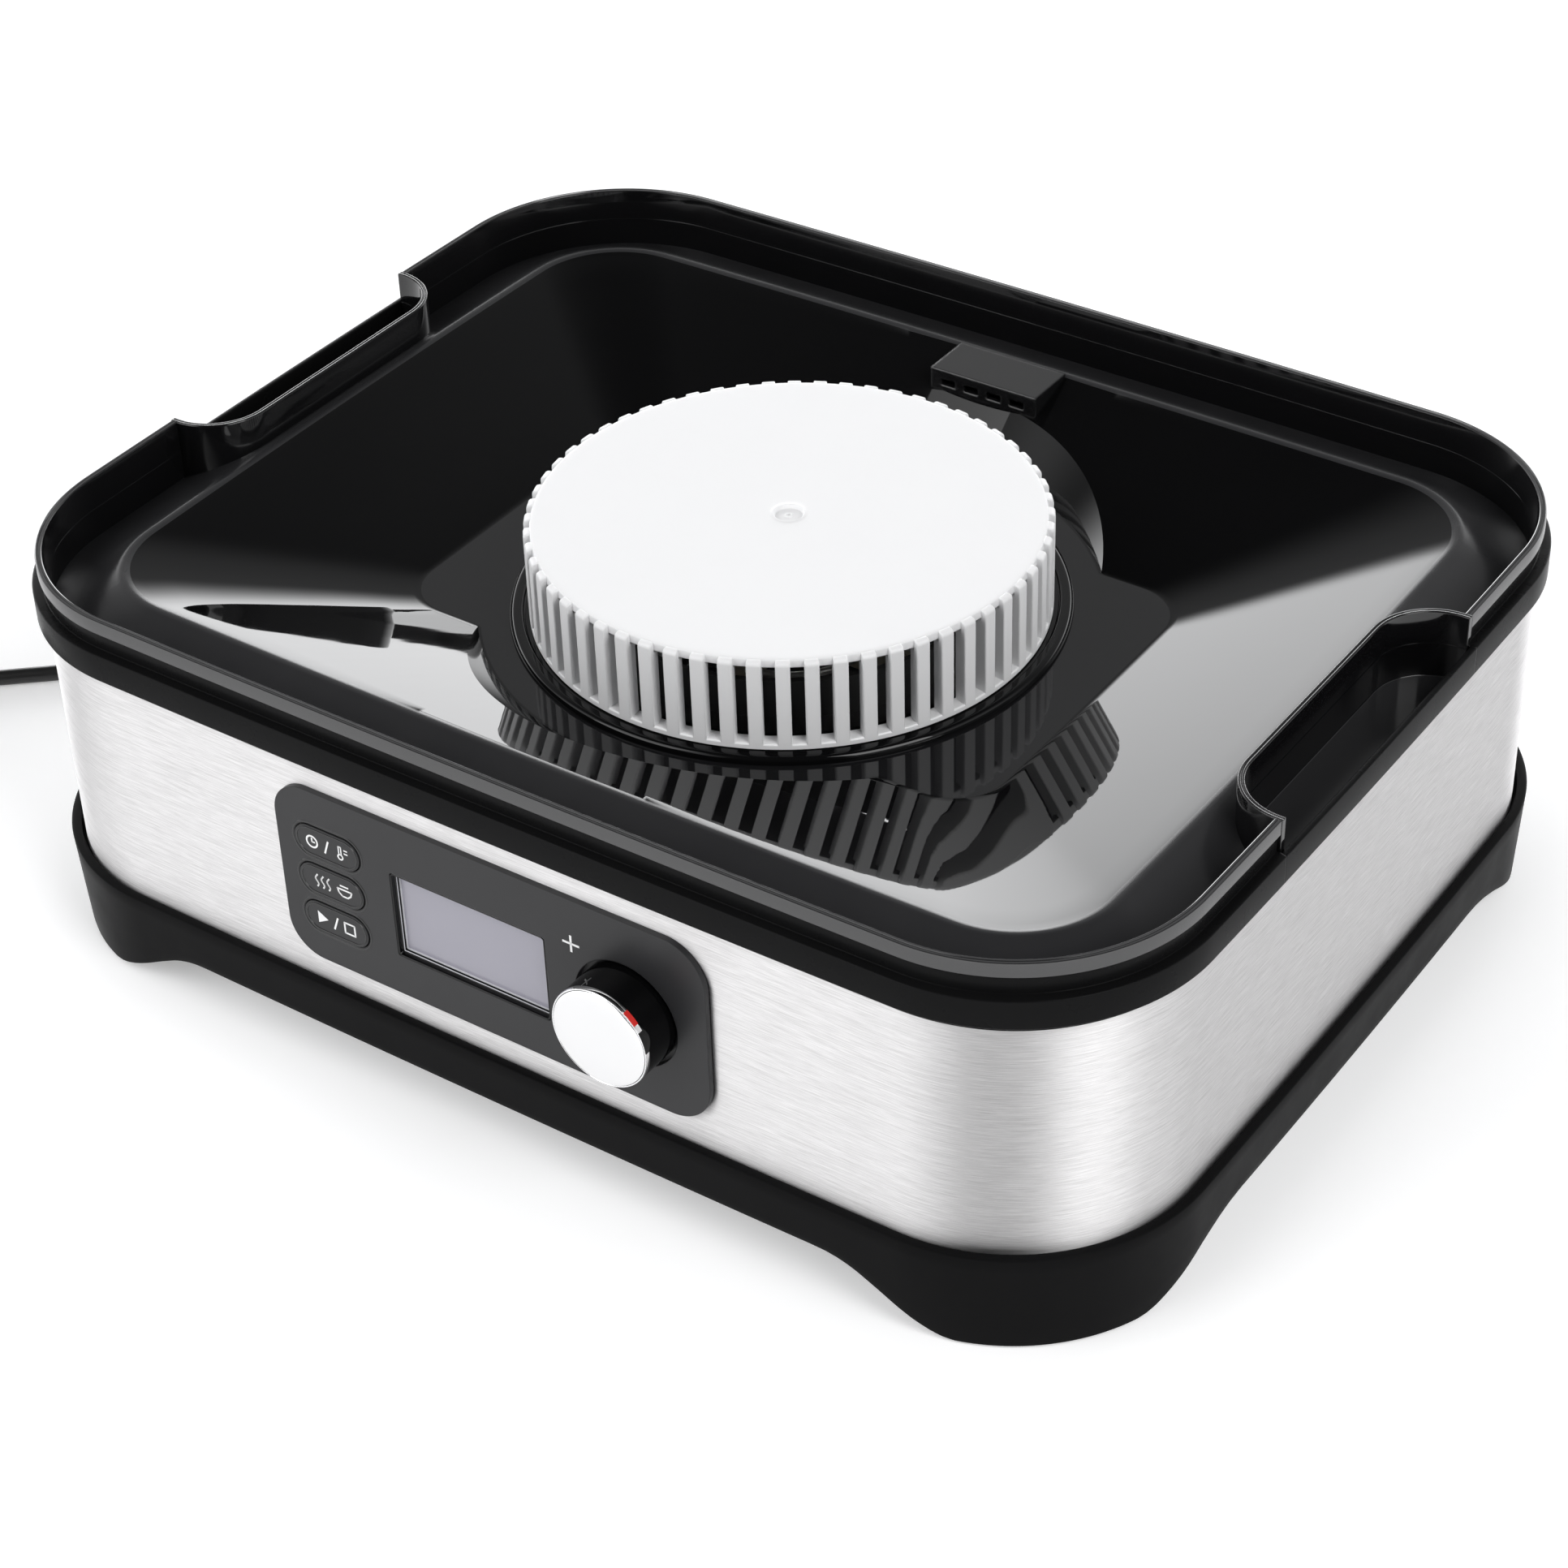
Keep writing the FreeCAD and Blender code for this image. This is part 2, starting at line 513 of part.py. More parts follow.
for i, nm in enumerate(("start", "mode", "power")):
    zc = bz - bp * i
    k = new_body(nm.capitalize() + "Button")
    s = sketch(k, nm + "Face", "XZ_Plane", "$panel_front + $button_proud", [loop_slot(bx, zc, bw, bh)])
    pad(k, nm + "Cap", s, "$button_body", True)
    s = sketch(k, nm + "Skirt", "XZ_Plane", "$panel_front + $button_proud - $button_body + 0.1", [loop_slot(bx, zc, bw + 1.6, bh + 1.6)])
    s.setExpression("AttachmentOffset.Base.z", expr("$panel_back - $panel_boss - 0.1"))
    pad(k, nm + "Flange", s, "1.2", True)
    s = sketch(k, nm + "StemFace", "XZ_Plane", "$panel_back - $panel_boss - 1.2", [loop_circle(bx, zc, 2.2)])
    pad(k, nm + "Stem", s, "$panel_back - $panel_boss - 1.2 - 150.3", True)
    out(k, nm + "_button")
    sw = fuse(nm.capitalize() + "Switch", [
        box(nm + "SwitchCase", bx - 3, bx + 3, -148.5, "-$board_front", zc - 3, zc + 3),
        cyl(nm + "SwitchPin", 1.6, 1.0, bx, -149.3, zc, "Y")])
    out(sw, nm + "_switch")

kb = new_body("KnobBody")
kx, kz, kr = val("knob_x"), val("knob_z"), val("knob_radius")
s = sketch(kb, "KnobFace0", "XZ_Plane", "$knob_back", [loop_circle(kx, kz, kr)])
pad(kb, "KnobSleeve", s, "$knob_front - 0.3 - $knob_back")
s = sketch(kb, "KnobFace1", "XZ_Plane", "$knob_front - 0.3", [loop_circle(kx, kz, val("knob_face_radius"))])
pocket(kb, "KnobFaceSeat", s, "$knob_face_gauge - 0.3")
s = sketch(kb, "KnobFace2", "XZ_Plane", "$knob_back", [loop_circle(kx, kz, val("encoder_shaft_radius"))])
pocket(kb, "KnobBore", s, "9", True)
s = sketch(kb, "KnobFace3", "XZ_Plane", "$knob_back", [loop_circle(kx, kz, 14.6), loop_circle(kx, kz, 6.5)])
pocket(kb, "KnobRelief", s, "10", True)
out(kb, "knob_body")
kf = new_body("KnobFace")
s = sketch(kf, "FaceDisc", "XZ_Plane", "$knob_front - $knob_face_gauge", [loop_circle(kx, kz, val("knob_face_radius"))])
pad(kf, "FacePad", s, "$knob_face_gauge")
out(kf, "knob_face")
out(cyl("EncoderShaft", "$encoder_shaft_radius", 17.0, "$knob_x", -165.6, "$knob_z", "Y"), "encoder_shaft")
enc = cut("Encoder", fuse("EncoderCase", [
    box("EncoderBlock", "$knob_x - 6.2", "$knob_x + 6.2", -151, "-$board_front", "$knob_z - 6.2", "$knob_z + 6.2"),
    cyl("EncoderNeck", 3.5, 2.2, "$knob_x", -153.0, "$knob_z", "Y")]),
    [cyl("EncoderBore", "$encoder_bore", 7, "$knob_x", -155, "$knob_z", "Y")])
out(enc, "encoder")
out(box("ControlBoard", -67.0, 71.5, "-$board_front", "-$board_front + $board_gauge", 51.0, 98.6), "control_board")
chips = [box("Chip0", -20, -8, "-$board_front + $board_gauge", -141.6, 68, 80), box("Chip1", 4, 12, "-$board_front + $board_gauge", -142.0, 70, 76),
         box("Chip2", 24, 36, "-$board_front + $board_gauge", -138.0, 56, 62)]
out(group("BoardChips", chips), "board_chips")

# ---------------------------------------------------------------- power board
out(box("PowerBoard", -190, -90, -60, 60, 26.0, 27.6), "power_board")
out(fuse("Transformer", [box("Core", -182, -146, -20, 20, 27.6, 56), box("Winding", -178, -150, -25, 25, 31, 52)]), "transformer")
out(box("Relay", -138, -122, -50, -30, 27.6, 43), "relay")
out(cyl("Capacitor", 8, 26, -128, 30, 27.6), "capacitor")
out(box("TerminalBlock", -182, -150, 36, 48, 27.6, 38), "terminal_block")

# ------------------------------------------------------ fan, motor and heater
motor = cut("FanMotor", fuse("MotorCase", [cyl("MotorCan", "$motor_radius", "$motor_high - $motor_low", 0, 0, "$motor_low"),
                                           cyl("MotorTail", 8, 4, 0, 0, "$motor_low - 4")]),
            [cyl("MotorBore", "$shaft_bore", 14, 0, 0, "$motor_high - 12")])
out(motor, "fan_motor")
bracket = common("BracketTrim", [
    cut("BracketBars", fuse("BracketCross", [box("BarX", -80, 80, -8, 8, "$motor_high", "$motor_high + 3"),
                                             box("BarY", -8, 8, -80, 80, "$motor_high", "$motor_high + 3")]),
        [cyl("BracketBore", 3.4, 10, 0, 0, 58)]),
    cyl("BracketLimit", "$duct_radius", 20, 0, 0, 55)])
out(bracket, "motor_bracket")
out(cyl("MotorShaft", "$shaft_radius", 33.6, 0, 0, 50.2), "motor_shaft")
out(cut("FanDuct", cyl("DuctOuter", "$duct_radius + $duct_wall", "$duct_high - $duct_low", 0, 0, "$duct_low"),
        [cyl("DuctInner", "$duct_radius", 80, 0, 0, 40)]), "fan_duct")

hub = Part.makeCylinder(val("hub_radius"), val("hub_high") - val("hub_low"), V(0, 0, val("hub_low")))
tip, bt = val("blade_tip"), val("blade_gauge")
blades = []
for i in range(7):
    bl = Part.makeBox(tip - 12, 20, bt, V(12, -10, -bt / 2))
    bl.rotate(V(0, 0, 0), V(1, 0, 0), 34)
    bl.translate(V(0, 0, (val("hub_low") + val("hub_high")) / 2))
    bl.rotate(V(0, 0, 0), V(0, 0, 1), 360.0 / 7 * i)
    blades.append(bl)
rotor = hub.fuse(blades).cut(Part.makeCylinder(val("shaft_radius"), 15.9, V(0, 0, val("hub_low") - 0.1)))
out(feature("FanImpeller", rotor), "fan_impeller")

frame = common("HeaterTrim", [fuse("HeaterCross", [box("MicaX", -80, 80, -0.8, 0.8, 88, 100), box("MicaY", -0.8, 0.8, -80, 80, 88, 100)]),
                              cyl("HeaterLimit", "$duct_radius", 30, 0, 0, 80)])
out(frame, "heater_frame")
out(group("HeaterCoil", [ring("Coil0", 26, 1.2, 94), ring("Coil1", 43, 1.2, 94), ring("Coil2", 60, 1.2, 94)]), "heater_coil")
out(cyl("ThermalFuse", 2.4, 11, 29, 3.3, 97.2, "X"), "thermal_fuse")

# ----------------------------------------------------------- mains lead pieces
cd = val("cord_diameter")
glx, glz, glr, rl = val("gland_x"), val("gland_z"), val("gland_radius"), val("relief_length")
y_out = 192.0
gland = Part.makeCylinder(glr, 8.0, V(glx, 152.9, glz), V(0, 1, 0))
gland = gland.fuse([Part.makeCylinder(6.2, 2.6, V(glx, 150.4, glz), V(0, 1, 0)),
                    Part.makeCylinder(6.4, 2.2, V(glx, 160.6, glz), V(0, 1, 0)),
                    Part.makeCone(5.6, 3.7, y_out - 162.8, V(glx, 162.8, glz), V(0, 1, 0))])
gland = gland.cut(Part.makeCylinder(1.6, 20, V(glx, 148, glz), V(0, 1, 0)))
out(feature("CordGland", gland.removeSplitter()), "cord_gland")

ROUTE = [
    (-120.0, 192.0, 25.5), (-121.0, 222.0, 19.0), (-132.0, 252.0, 2.8), (-172.0, 268.0, 2.8), (-214.0, 246.0, 2.8),
    (-243.0, 202.0, 2.8), (-254.0, 148.0, 2.8), (-256.5, 92.0, 2.8), (-256.0, 40.0, 2.8), (-258.5, -6.0, 2.8),
    (-268.1, -37.7, 2.8), (-306.5, -70.0, 2.8), (-342.6, -104.4, 2.8),
]
pts = [V(*p) for p in ROUTE]
edges, length, here = [], 0.0, pts[0]
for i in range(1, len(pts) - 1):
    a, b, c = pts[i - 1], pts[i], pts[i + 1]
    u, v_ = (a - b), (c - b)
    lu, lv = u.Length, v_.Length
    u.normalize()
    v_.normalize()
    turn = math.pi - math.acos(max(-1, min(1, u.dot(v_))))
    t = 0.45 * min(lu, lv)
    rad = t / math.tan(turn / 2)
    s_, e_ = b + u * t, b + v_ * t
    m = u + v_
    m.normalize()
    centre = b + m * (rad / math.cos(turn / 2))
    mid = centre - m * rad
    edges.append(Part.LineSegment(here, s_).toShape())
    edges.append(Part.Arc(s_, mid, e_).toShape())
    length += (s_ - here).Length + rad * turn
    here = e_
    print("bend %d radius %.1f turn %.1f run %.1f" % (i, rad, math.degrees(turn), lv))
edges.append(Part.LineSegment(here, pts[-1]).toShape())
length += (pts[-1] - here).Length
path = Part.Wire(edges)
d0 = (pts[1] - pts[0])
d0.normalize()
section = Part.Wire([Part.Circle(pts[0], d0, cd / 2).toShape()])
tube = path.makePipeShell([section], True, False)
print("cord length %.1f volume ratio %.4f" % (length, tube.Volume / (math.pi * cd * cd / 4 * length)))
out(feature("PowerCord", tube), "power_cord")

cx_, cy_, cr0 = val("coil_x"), val("coil_y"), val("coil_radius")
coil = Part.makeCylinder(cr0 + cd, 2 * cd, V(cx_, cy_, 0)).cut(Part.makeCylinder(cr0 - cd, 2 * cd + 2, V(cx_, cy_, -1)))
out(feature("CordCoil", coil), "cord_coil")

ang = math.atan2(-0.745, 0.667)
start = V(cx_ + (cr0 + cd / 2) * math.cos(math.radians(221.8)) + 20 * math.cos(ang), cy_ + (cr0 + cd / 2) * math.sin(math.radians(221.8)) + 20 * math.sin(ang), 7.2)
plug = Part.makeCone(3.4, 4.8, 14, V(0, 0, 0), V(1, 0, 0))
blk = Part.makeBox(22, 34, 13.6, V(13.5, -17, -6.8))
blk = blk.makeFillet(5.0, [e for e in blk.Edges if abs(e.Vertexes[0].X - e.Vertexes[1].X) < 1e-6 and abs(e.Vertexes[0].Y - e.Vertexes[1].Y) < 1e-6 and e.Vertexes[0].X < 14])
plug = plug.fuse(blk).removeSplitter()
plug.rotate(V(0, 0, 0), V(0, 0, 1), math.degrees(ang))
plug.translate(start)
out(feature("PowerPlug", plug), "power_plug")
pins = []
for sy in (-9.5, 9.5):
    pin = Part.makeCylinder(2.0, 18.0, V(35.5, sy, 0), V(1, 0, 0))
    pin.rotate(V(0, 0, 0), V(0, 0, 1), math.degrees(ang))
    pin.translate(start)
    pins.append(pin)
out(feature("PlugPins", Part.makeCompound(pins)), "plug_pins")

# ------------------------------------------ place the assembly, check, export
for obj, label in EXPORTS:
    if obj.TypeId in ("Part::Box", "Part::Cylinder"):
        continue
    obj.setExpression("Placement.Base.y", "%.4f + Params.footprint_shift_y" % obj.Placement.Base.y)
for obj, label in EXPORTS:
    if obj.TypeId in ("Part::Box", "Part::Cylinder"):
        old = [e for e in obj.ExpressionEngine if e[0].lstrip(".") == "Placement.Base.y"][0][1]
        obj.setExpression("Placement.Base.y", "(%s) + Params.footprint_shift_y" % old)
doc.recompute()

bad = 0
for obj in doc.Objects:
    if "Invalid" in obj.State or "Error" in obj.State:
        print("STATE", obj.Name, obj.State)
        bad += 1
for obj, label in EXPORTS:
    sh = obj.Shape
    if sh.isNull() or not sh.isValid() or not sh.Solids:
        print("SHAPE", label)
        bad += 1
if bad:
    raise RuntimeError("%d objects failed" % bad)
for obj, label in EXPORTS:
    obj.Shape.exportStep("parts/%s.step" % label)
    bb = obj.Shape.optimalBoundingBox(False, False)
    print("%-20s solids %d  x %.1f %.1f  y %.1f %.1f  z %.1f %.1f  vol %.0f" % (label, len(obj.Shape.Solids), bb.XMin, bb.XMax, bb.YMin, bb.YMax, bb.ZMin, bb.ZMax, obj.Shape.Volume))
print(len(EXPORTS), "sub-parts written")
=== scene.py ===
import bpy, bmesh, math
from mathutils import Vector, Matrix


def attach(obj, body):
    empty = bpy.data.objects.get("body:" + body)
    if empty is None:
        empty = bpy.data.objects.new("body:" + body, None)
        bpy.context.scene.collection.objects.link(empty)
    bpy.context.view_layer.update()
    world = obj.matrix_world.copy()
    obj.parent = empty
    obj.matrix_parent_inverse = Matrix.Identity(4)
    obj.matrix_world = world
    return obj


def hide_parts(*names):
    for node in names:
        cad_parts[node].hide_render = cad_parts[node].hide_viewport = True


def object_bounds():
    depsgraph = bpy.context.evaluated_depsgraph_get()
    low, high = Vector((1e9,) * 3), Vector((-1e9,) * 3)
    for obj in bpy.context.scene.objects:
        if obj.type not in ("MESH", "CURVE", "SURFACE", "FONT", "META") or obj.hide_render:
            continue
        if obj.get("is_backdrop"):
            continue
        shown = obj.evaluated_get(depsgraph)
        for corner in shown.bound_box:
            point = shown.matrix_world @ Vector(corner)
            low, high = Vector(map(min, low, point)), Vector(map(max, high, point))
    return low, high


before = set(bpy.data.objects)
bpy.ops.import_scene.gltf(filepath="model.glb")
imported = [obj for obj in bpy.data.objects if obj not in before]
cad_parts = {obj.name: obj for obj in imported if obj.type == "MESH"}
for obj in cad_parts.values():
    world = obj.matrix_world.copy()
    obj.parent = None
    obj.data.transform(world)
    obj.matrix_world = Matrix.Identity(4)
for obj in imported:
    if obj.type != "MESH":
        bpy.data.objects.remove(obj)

lo0, hi0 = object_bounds()
SIZES = {"cad_lo": [float(v) for v in lo0], "cad_hi": [float(v) for v in hi0]}
MM = 0.001
SHIFT = 4.9          # the row frame lies this far (mm) towards the back of the body's own centre
scene = bpy.context.scene
coll = scene.collection

# ------------------------------------------------------------------ camera
AZ, EL, ROLL = math.radians(35.579), math.radians(36.436), math.radians(-2.048)
right = Vector((math.cos(AZ), math.sin(AZ), 0))
back = Vector((math.sin(AZ) * math.cos(EL), -math.cos(AZ) * math.cos(EL), math.sin(EL)))
up = back.cross(right)
r2 = right * math.cos(ROLL) + up * math.sin(ROLL)
u2 = -right * math.sin(ROLL) + up * math.cos(ROLL)
cam_data = bpy.data.cameras.new("camera")
cam_data.sensor_width = 36.0
cam_data.lens = 81.71
cam_data.clip_start, cam_data.clip_end = 0.01, 50
cam = bpy.data.objects.new("camera", cam_data)
coll.objects.link(cam)
m = Matrix.Identity(4)
for i in range(3):
    m[i][0], m[i][1], m[i][2] = r2[i], u2[i], back[i]
m[0][3], m[1][3], m[2][3] = 0.531446, -0.750405 + SHIFT * MM, 0.712605
cam.matrix_world = m
scene.camera = cam


# -------------------------------------------------------------- shader tools
def new_mat(name):
    mt = bpy.data.materials.new(name)
    mt.use_nodes = True
    nt = mt.node_tree
    nt.nodes.clear()
    o = nt.nodes.new("ShaderNodeOutputMaterial")
    b = nt.nodes.new("ShaderNodeBsdfPrincipled")
    nt.links.new(b.outputs[0], o.inputs[0])
    return mt, nt, b


def noise(nt, scale, detail=3.0, rough=0.55, stretch=(1, 1, 1)):
    tc = nt.nodes.new("ShaderNodeTexCoord")
    mp = nt.nodes.new("ShaderNodeMapping")
    mp.inputs["Scale"].default_value = stretch
    nt.links.new(tc.outputs["Object"], mp.inputs["Vector"])
    n = nt.nodes.new("ShaderNodeTexNoise")
    n.inputs["Scale"].default_value = scale
    n.inputs["Detail"].default_value = detail
    n.inputs["Roughness"].default_value = rough
    nt.links.new(mp.outputs[0], n.inputs["Vector"])
    return n.outputs["Fac"]


def remap(nt, fac, a, b, lo=0.3, hi=0.7):
    r = nt.nodes.new("ShaderNodeMapRange")
    r.inputs["From Min"].default_value = lo
    r.inputs["From Max"].default_value = hi
    r.inputs["To Min"].default_value = a
    r.inputs["To Max"].default_value = b
    nt.links.new(fac, r.inputs["Value"])
    return r.outputs[0]


def mixcol(nt, fac, c0, c1):
    x = nt.nodes.new("ShaderNodeMix")
    x.data_type = "RGBA"
    x.inputs["A"].default_value = (*c0, 1)
    x.inputs["B"].default_value = (*c1, 1)
    nt.links.new(fac, x.inputs["Factor"])
    return x.outputs["Result"]


def surface(name, c0, c1, r0, r1, metal=0.0, grain=900.0, bump=0.02, var=25.0, spec=0.5, edge=0.0, coat=0.0,
            coat_rough=0.05, stretch=(1, 1, 1), vstretch=(1, 1, 1), detail=3.0, dist=0.0002):
    mt, nt, b = new_mat(name)
    v = noise(nt, var, 4.0, 0.6, vstretch)
    nt.links.new(mixcol(nt, v, c0, c1), b.inputs["Base Color"])
    v2 = noise(nt, var * 2.7, 5.0, 0.6, vstretch)
    nt.links.new(remap(nt, v2, r0, r1), b.inputs["Roughness"])
    b.inputs["Metallic"].default_value = metal
    b.inputs["Specular IOR Level"].default_value = spec
    b.inputs["Coat Weight"].default_value = coat
    b.inputs["Coat Roughness"].default_value = coat_rough
    g = noise(nt, grain, detail, 0.6, stretch)
    bp = nt.nodes.new("ShaderNodeBump")
    bp.inputs["Strength"].default_value = bump
    bp.inputs["Distance"].default_value = dist
    nt.links.new(g, bp.inputs["Height"])
    if edge > 0:
        bv = nt.nodes.new("ShaderNodeBevel")
        bv.samples = 6
        bv.inputs["Radius"].default_value = edge
        nt.links.new(bv.outputs[0], bp.inputs["Normal"])
    nt.links.new(bp.outputs[0], b.inputs["Normal"])
    return mt


M = {}
M["deck"] = surface("deck_gloss_black", (0.0030, 0.0030, 0.0033), (0.0048, 0.0048, 0.0052), 0.05, 0.09, grain=700, bump=0.004, edge=0.0005, spec=0.62)
M["satin"] = surface("deck_satin_black", (0.0220, 0.0220, 0.0235), (0.0280, 0.0280, 0.0295), 0.16, 0.24, grain=1800, bump=0.02, edge=0.0006, spec=0.42)
M["flange"] = surface("flange_satin_black", (0.0045, 0.0045, 0.0047), (0.0070, 0.0070, 0.0072), 0.24, 0.32, grain=1800, bump=0.03, edge=0.0006, spec=0.06)
M["base"] = surface("base_satin_black", (0.0040, 0.0040, 0.0042), (0.0065, 0.0065, 0.0067), 0.36, 0.44, grain=2200, bump=0.05, edge=0.0007, spec=0.03)
M["pads"] = surface("rubber_pads", (0.012, 0.012, 0.012), (0.02, 0.02, 0.02), 0.7, 0.8, grain=2600, bump=0.2)
M["cap"] = surface("cap_white", (0.86, 0.86, 0.868), (0.885, 0.885, 0.89), 0.38, 0.45, grain=2400, bump=0.03, edge=0.0004)
M["panel"] = surface("panel_charcoal", (0.017, 0.017, 0.018), (0.022, 0.022, 0.0235), 0.34, 0.40, grain=3000, bump=0.04, edge=0.0005, spec=0.30)
M["button"] = surface("button_charcoal", (0.013, 0.013, 0.014), (0.017, 0.017, 0.018), 0.38, 0.44, grain=3000, bump=0.04, edge=0.0006, spec=0.36)
M["gloss"] = surface("gloss_black", (0.0022, 0.0022, 0.0024), (0.0034, 0.0034, 0.0037), 0.012, 0.030, grain=60, bump=0.02, spec=0.27, detail=2.0)
M["plateau"] = surface("plateau_black", (0.0060, 0.0060, 0.0066), (0.0085, 0.0085, 0.0092), 0.035, 0.06, grain=60, bump=0.02, spec=0.40, detail=2.0)
M["housing"] = surface("housing_black", (0.0060, 0.0060, 0.0064), (0.0090, 0.0090, 0.0094), 0.04, 0.08, grain=400, bump=0.004, edge=0.0011, spec=0.85)
# Lighter grey than the flange black: painted highlight standing in for the lit upper band of the rim's outer face and
# its top. Its gloss comes from the shader.
M["rimband"] = surface("rim_band_painted_highlight", (0.0200, 0.0200, 0.0208), (0.0260, 0.0260, 0.0270), 0.12, 0.18, grain=1400, bump=0.01, spec=0.9)
M["chrome"] = surface("chrome_face", (0.86, 0.86, 0.87), (0.9, 0.9, 0.9), 0.05, 0.09, metal=1.0, grain=1500, bump=0.01, edge=0.0003)
M["zinc"] = surface("zinc_plate", (0.5, 0.5, 0.5), (0.6, 0.6, 0.58), 0.3, 0.4, metal=1.0, grain=1200, bump=0.05)
M["guard"] = surface("guard_black", (0.012, 0.012, 0.012), (0.018, 0.018, 0.018), 0.4, 0.5, grain=2000, bump=0.05)
M["lcd"] = surface("lcd_glass", (0.285, 0.278, 0.325), (0.305, 0.298, 0.345), 0.16, 0.22, grain=600, bump=0.004, coat=0.3)
M["switch"] = surface("switch_body", (0.05, 0.05, 0.05), (0.07, 0.07, 0.07), 0.4, 0.5, grain=2000, bump=0.05)
M["board"] = surface("circuit_board", (0.01, 0.09, 0.04), (0.02, 0.13, 0.06), 0.35, 0.45, grain=900, bump=0.05)
M["chip"] = surface("chip_black", (0.015, 0.015, 0.017), (0.03, 0.03, 0.03), 0.5, 0.6, grain=2000, bump=0.08)
M["iron"] = surface("core_iron", (0.08, 0.08, 0.085), (0.13, 0.12, 0.12), 0.5, 0.65, metal=0.7, grain=900, bump=0.1)
M["motor"] = surface("motor_can", (0.22, 0.22, 0.24), (0.3, 0.3, 0.3), 0.35, 0.45, metal=0.8, grain=900, bump=0.05)
M["impeller"] = surface("impeller_grey", (0.06, 0.06, 0.065), (0.08, 0.08, 0.085), 0.3, 0.4, grain=1500, bump=0.04)
M["mica"] = surface("mica_plate", (0.35, 0.31, 0.25), (0.5, 0.46, 0.38), 0.6, 0.75, grain=700, bump=0.15)
M["lead"] = surface("lead_rubber", (0.010, 0.010, 0.010), (0.016, 0.016, 0.016), 0.34, 0.42, grain=2600, bump=0.08, edge=0.0004)
M["brass"] = surface("pin_nickel", (0.62, 0.6, 0.54), (0.7, 0.68, 0.62), 0.18, 0.26, metal=1.0, grain=1500, bump=0.03, edge=0.0003)
M["ink"] = surface("white_ink", (0.80, 0.80, 0.80), (0.86, 0.86, 0.86), 0.45, 0.55, grain=2500, bump=0.03)
# Near-black gloss. On the beads it is their own colour. On the rings round the buttons it is painted shade standing in
# for the shaded gap between button and panel.
M["gloss2"] = surface("bead_black_and_painted_gap_shade", (0.0022, 0.0022, 0.0024), (0.0034, 0.0034, 0.0037), 0.14, 0.2, grain=900, bump=0.01, spec=0.5)
M["red"] = surface("red_ink", (0.55, 0.015, 0.01), (0.62, 0.02, 0.015), 0.35, 0.45, grain=2500, bump=0.03)


def steel_material():
    mt, nt, b = new_mat("brushed_steel_band")
    streak = noise(nt, 1.0, 6.0, 0.75, (95, 95, 4300))
    fine = noise(nt, 1.0, 4.0, 0.7, (300, 300, 9500))
    broad = noise(nt, 1.0, 3.0, 0.5, (14, 14, 40))
    nt.links.new(mixcol(nt, remap(nt, streak, 0.0, 1.0, 0.36, 0.64), (0.58, 0.572, 0.572), (0.80, 0.792, 0.794)), b.inputs["Base Color"])
    tg = nt.nodes.new("ShaderNodeTangent")
    tg.direction_type = "RADIAL"
    tg.axis = "Z"
    nt.links.new(tg.outputs[0], b.inputs["Tangent"])
    b.inputs["Anisotropic"].default_value = 0.93
    b.inputs["Anisotropic Rotation"].default_value = 0.25
    nt.links.new(remap(nt, fine, 0.44, 0.52), b.inputs["Roughness"])
    b.inputs["Metallic"].default_value = 1.0
    add = nt.nodes.new("ShaderNodeMath"); add.operation = "ADD"
    nt.links.new(streak, add.inputs[0]); nt.links.new(fine, add.inputs[1])
    add2 = nt.nodes.new("ShaderNodeMath"); add2.operation = "MULTIPLY_ADD"
    nt.links.new(broad, add2.inputs[0]); add2.inputs[1].default_value = 0.0
    nt.links.new(add.outputs[0], add2.inputs[2])
    bp = nt.nodes.new("ShaderNodeBump")
    bp.inputs["Strength"].default_value = 0.15
    bp.inputs["Distance"].default_value = 0.00012
    nt.links.new(add2.outputs[0], bp.inputs["Height"])
    nt.links.new(bp.outputs[0], b.inputs["Normal"])
    return mt


M["steel"] = steel_material()

# ----------------------------------------------------------------- the cord
ROUTE = [
    (-120.0, 192.0, 25.5), (-121.0, 222.0, 19.0), (-132.0, 252.0, 2.8), (-172.0, 268.0, 2.8), (-214.0, 246.0, 2.8),
    (-243.0, 202.0, 2.8), (-254.0, 148.0, 2.8), (-256.5, 92.0, 2.8), (-256.0, 40.0, 2.8), (-258.5, -6.0, 2.8),
    (-268.1, -37.7, 2.8), (-306.5, -70.0, 2.8), (-342.6, -104.4, 2.8),
]
CORD_D = 5.6
COIL = (-320.7, -128.8)
pts = [(x, y + SHIFT, z) for x, y, z in ROUTE]
# wound part: outer lane, inner lane, then inner and outer lane of the upper layer
def lane(deg):
    table_ = [(0, 32.9, 2.8), (285, 32.9, 2.8), (345, 27.1, 2.8), (640, 27.1, 2.8), (700, 27.1, 8.45), (985, 27.1, 8.45), (1050, 32.9, 8.45), (1300, 32.9, 8.45)]
    for (d0, r0, z0), (d1, r1, z1) in zip(table_, table_[1:]):
        if deg <= d1:
            t = (deg - d0) / (d1 - d0)
            t = t * t * (3 - 2 * t)
            return r0 + (r1 - r0) * t, z0 + (z1 - z0) * t
    return 32.9, 8.45
STEP = 360.0 / 15
k = 1
while k * STEP < 1170 - 6:
    deg = k * STEP
    r_, z_ = lane(deg)
    r_ = r_ / math.cos(math.radians(STEP / 2)) ** 1.0
    a_ = math.radians(131.8 + deg)
    pts.append((COIL[0] + r_ * math.cos(a_), COIL[1] + SHIFT + r_ * math.sin(a_), z_))
    k += 1
a_end = math.radians(221.8)
tail0 = (COIL[0] + 32.8 * math.cos(a_end), COIL[1] + SHIFT + 32.8 * math.sin(a_end))
tdir = (0.667, -0.745)
PLUG0 = (tail0[0] + 20 * tdir[0], tail0[1] + 20 * tdir[1], 7.2)
pts.append((tail0[0] + 4 * tdir[0], tail0[1] + 4 * tdir[1], 8.3))
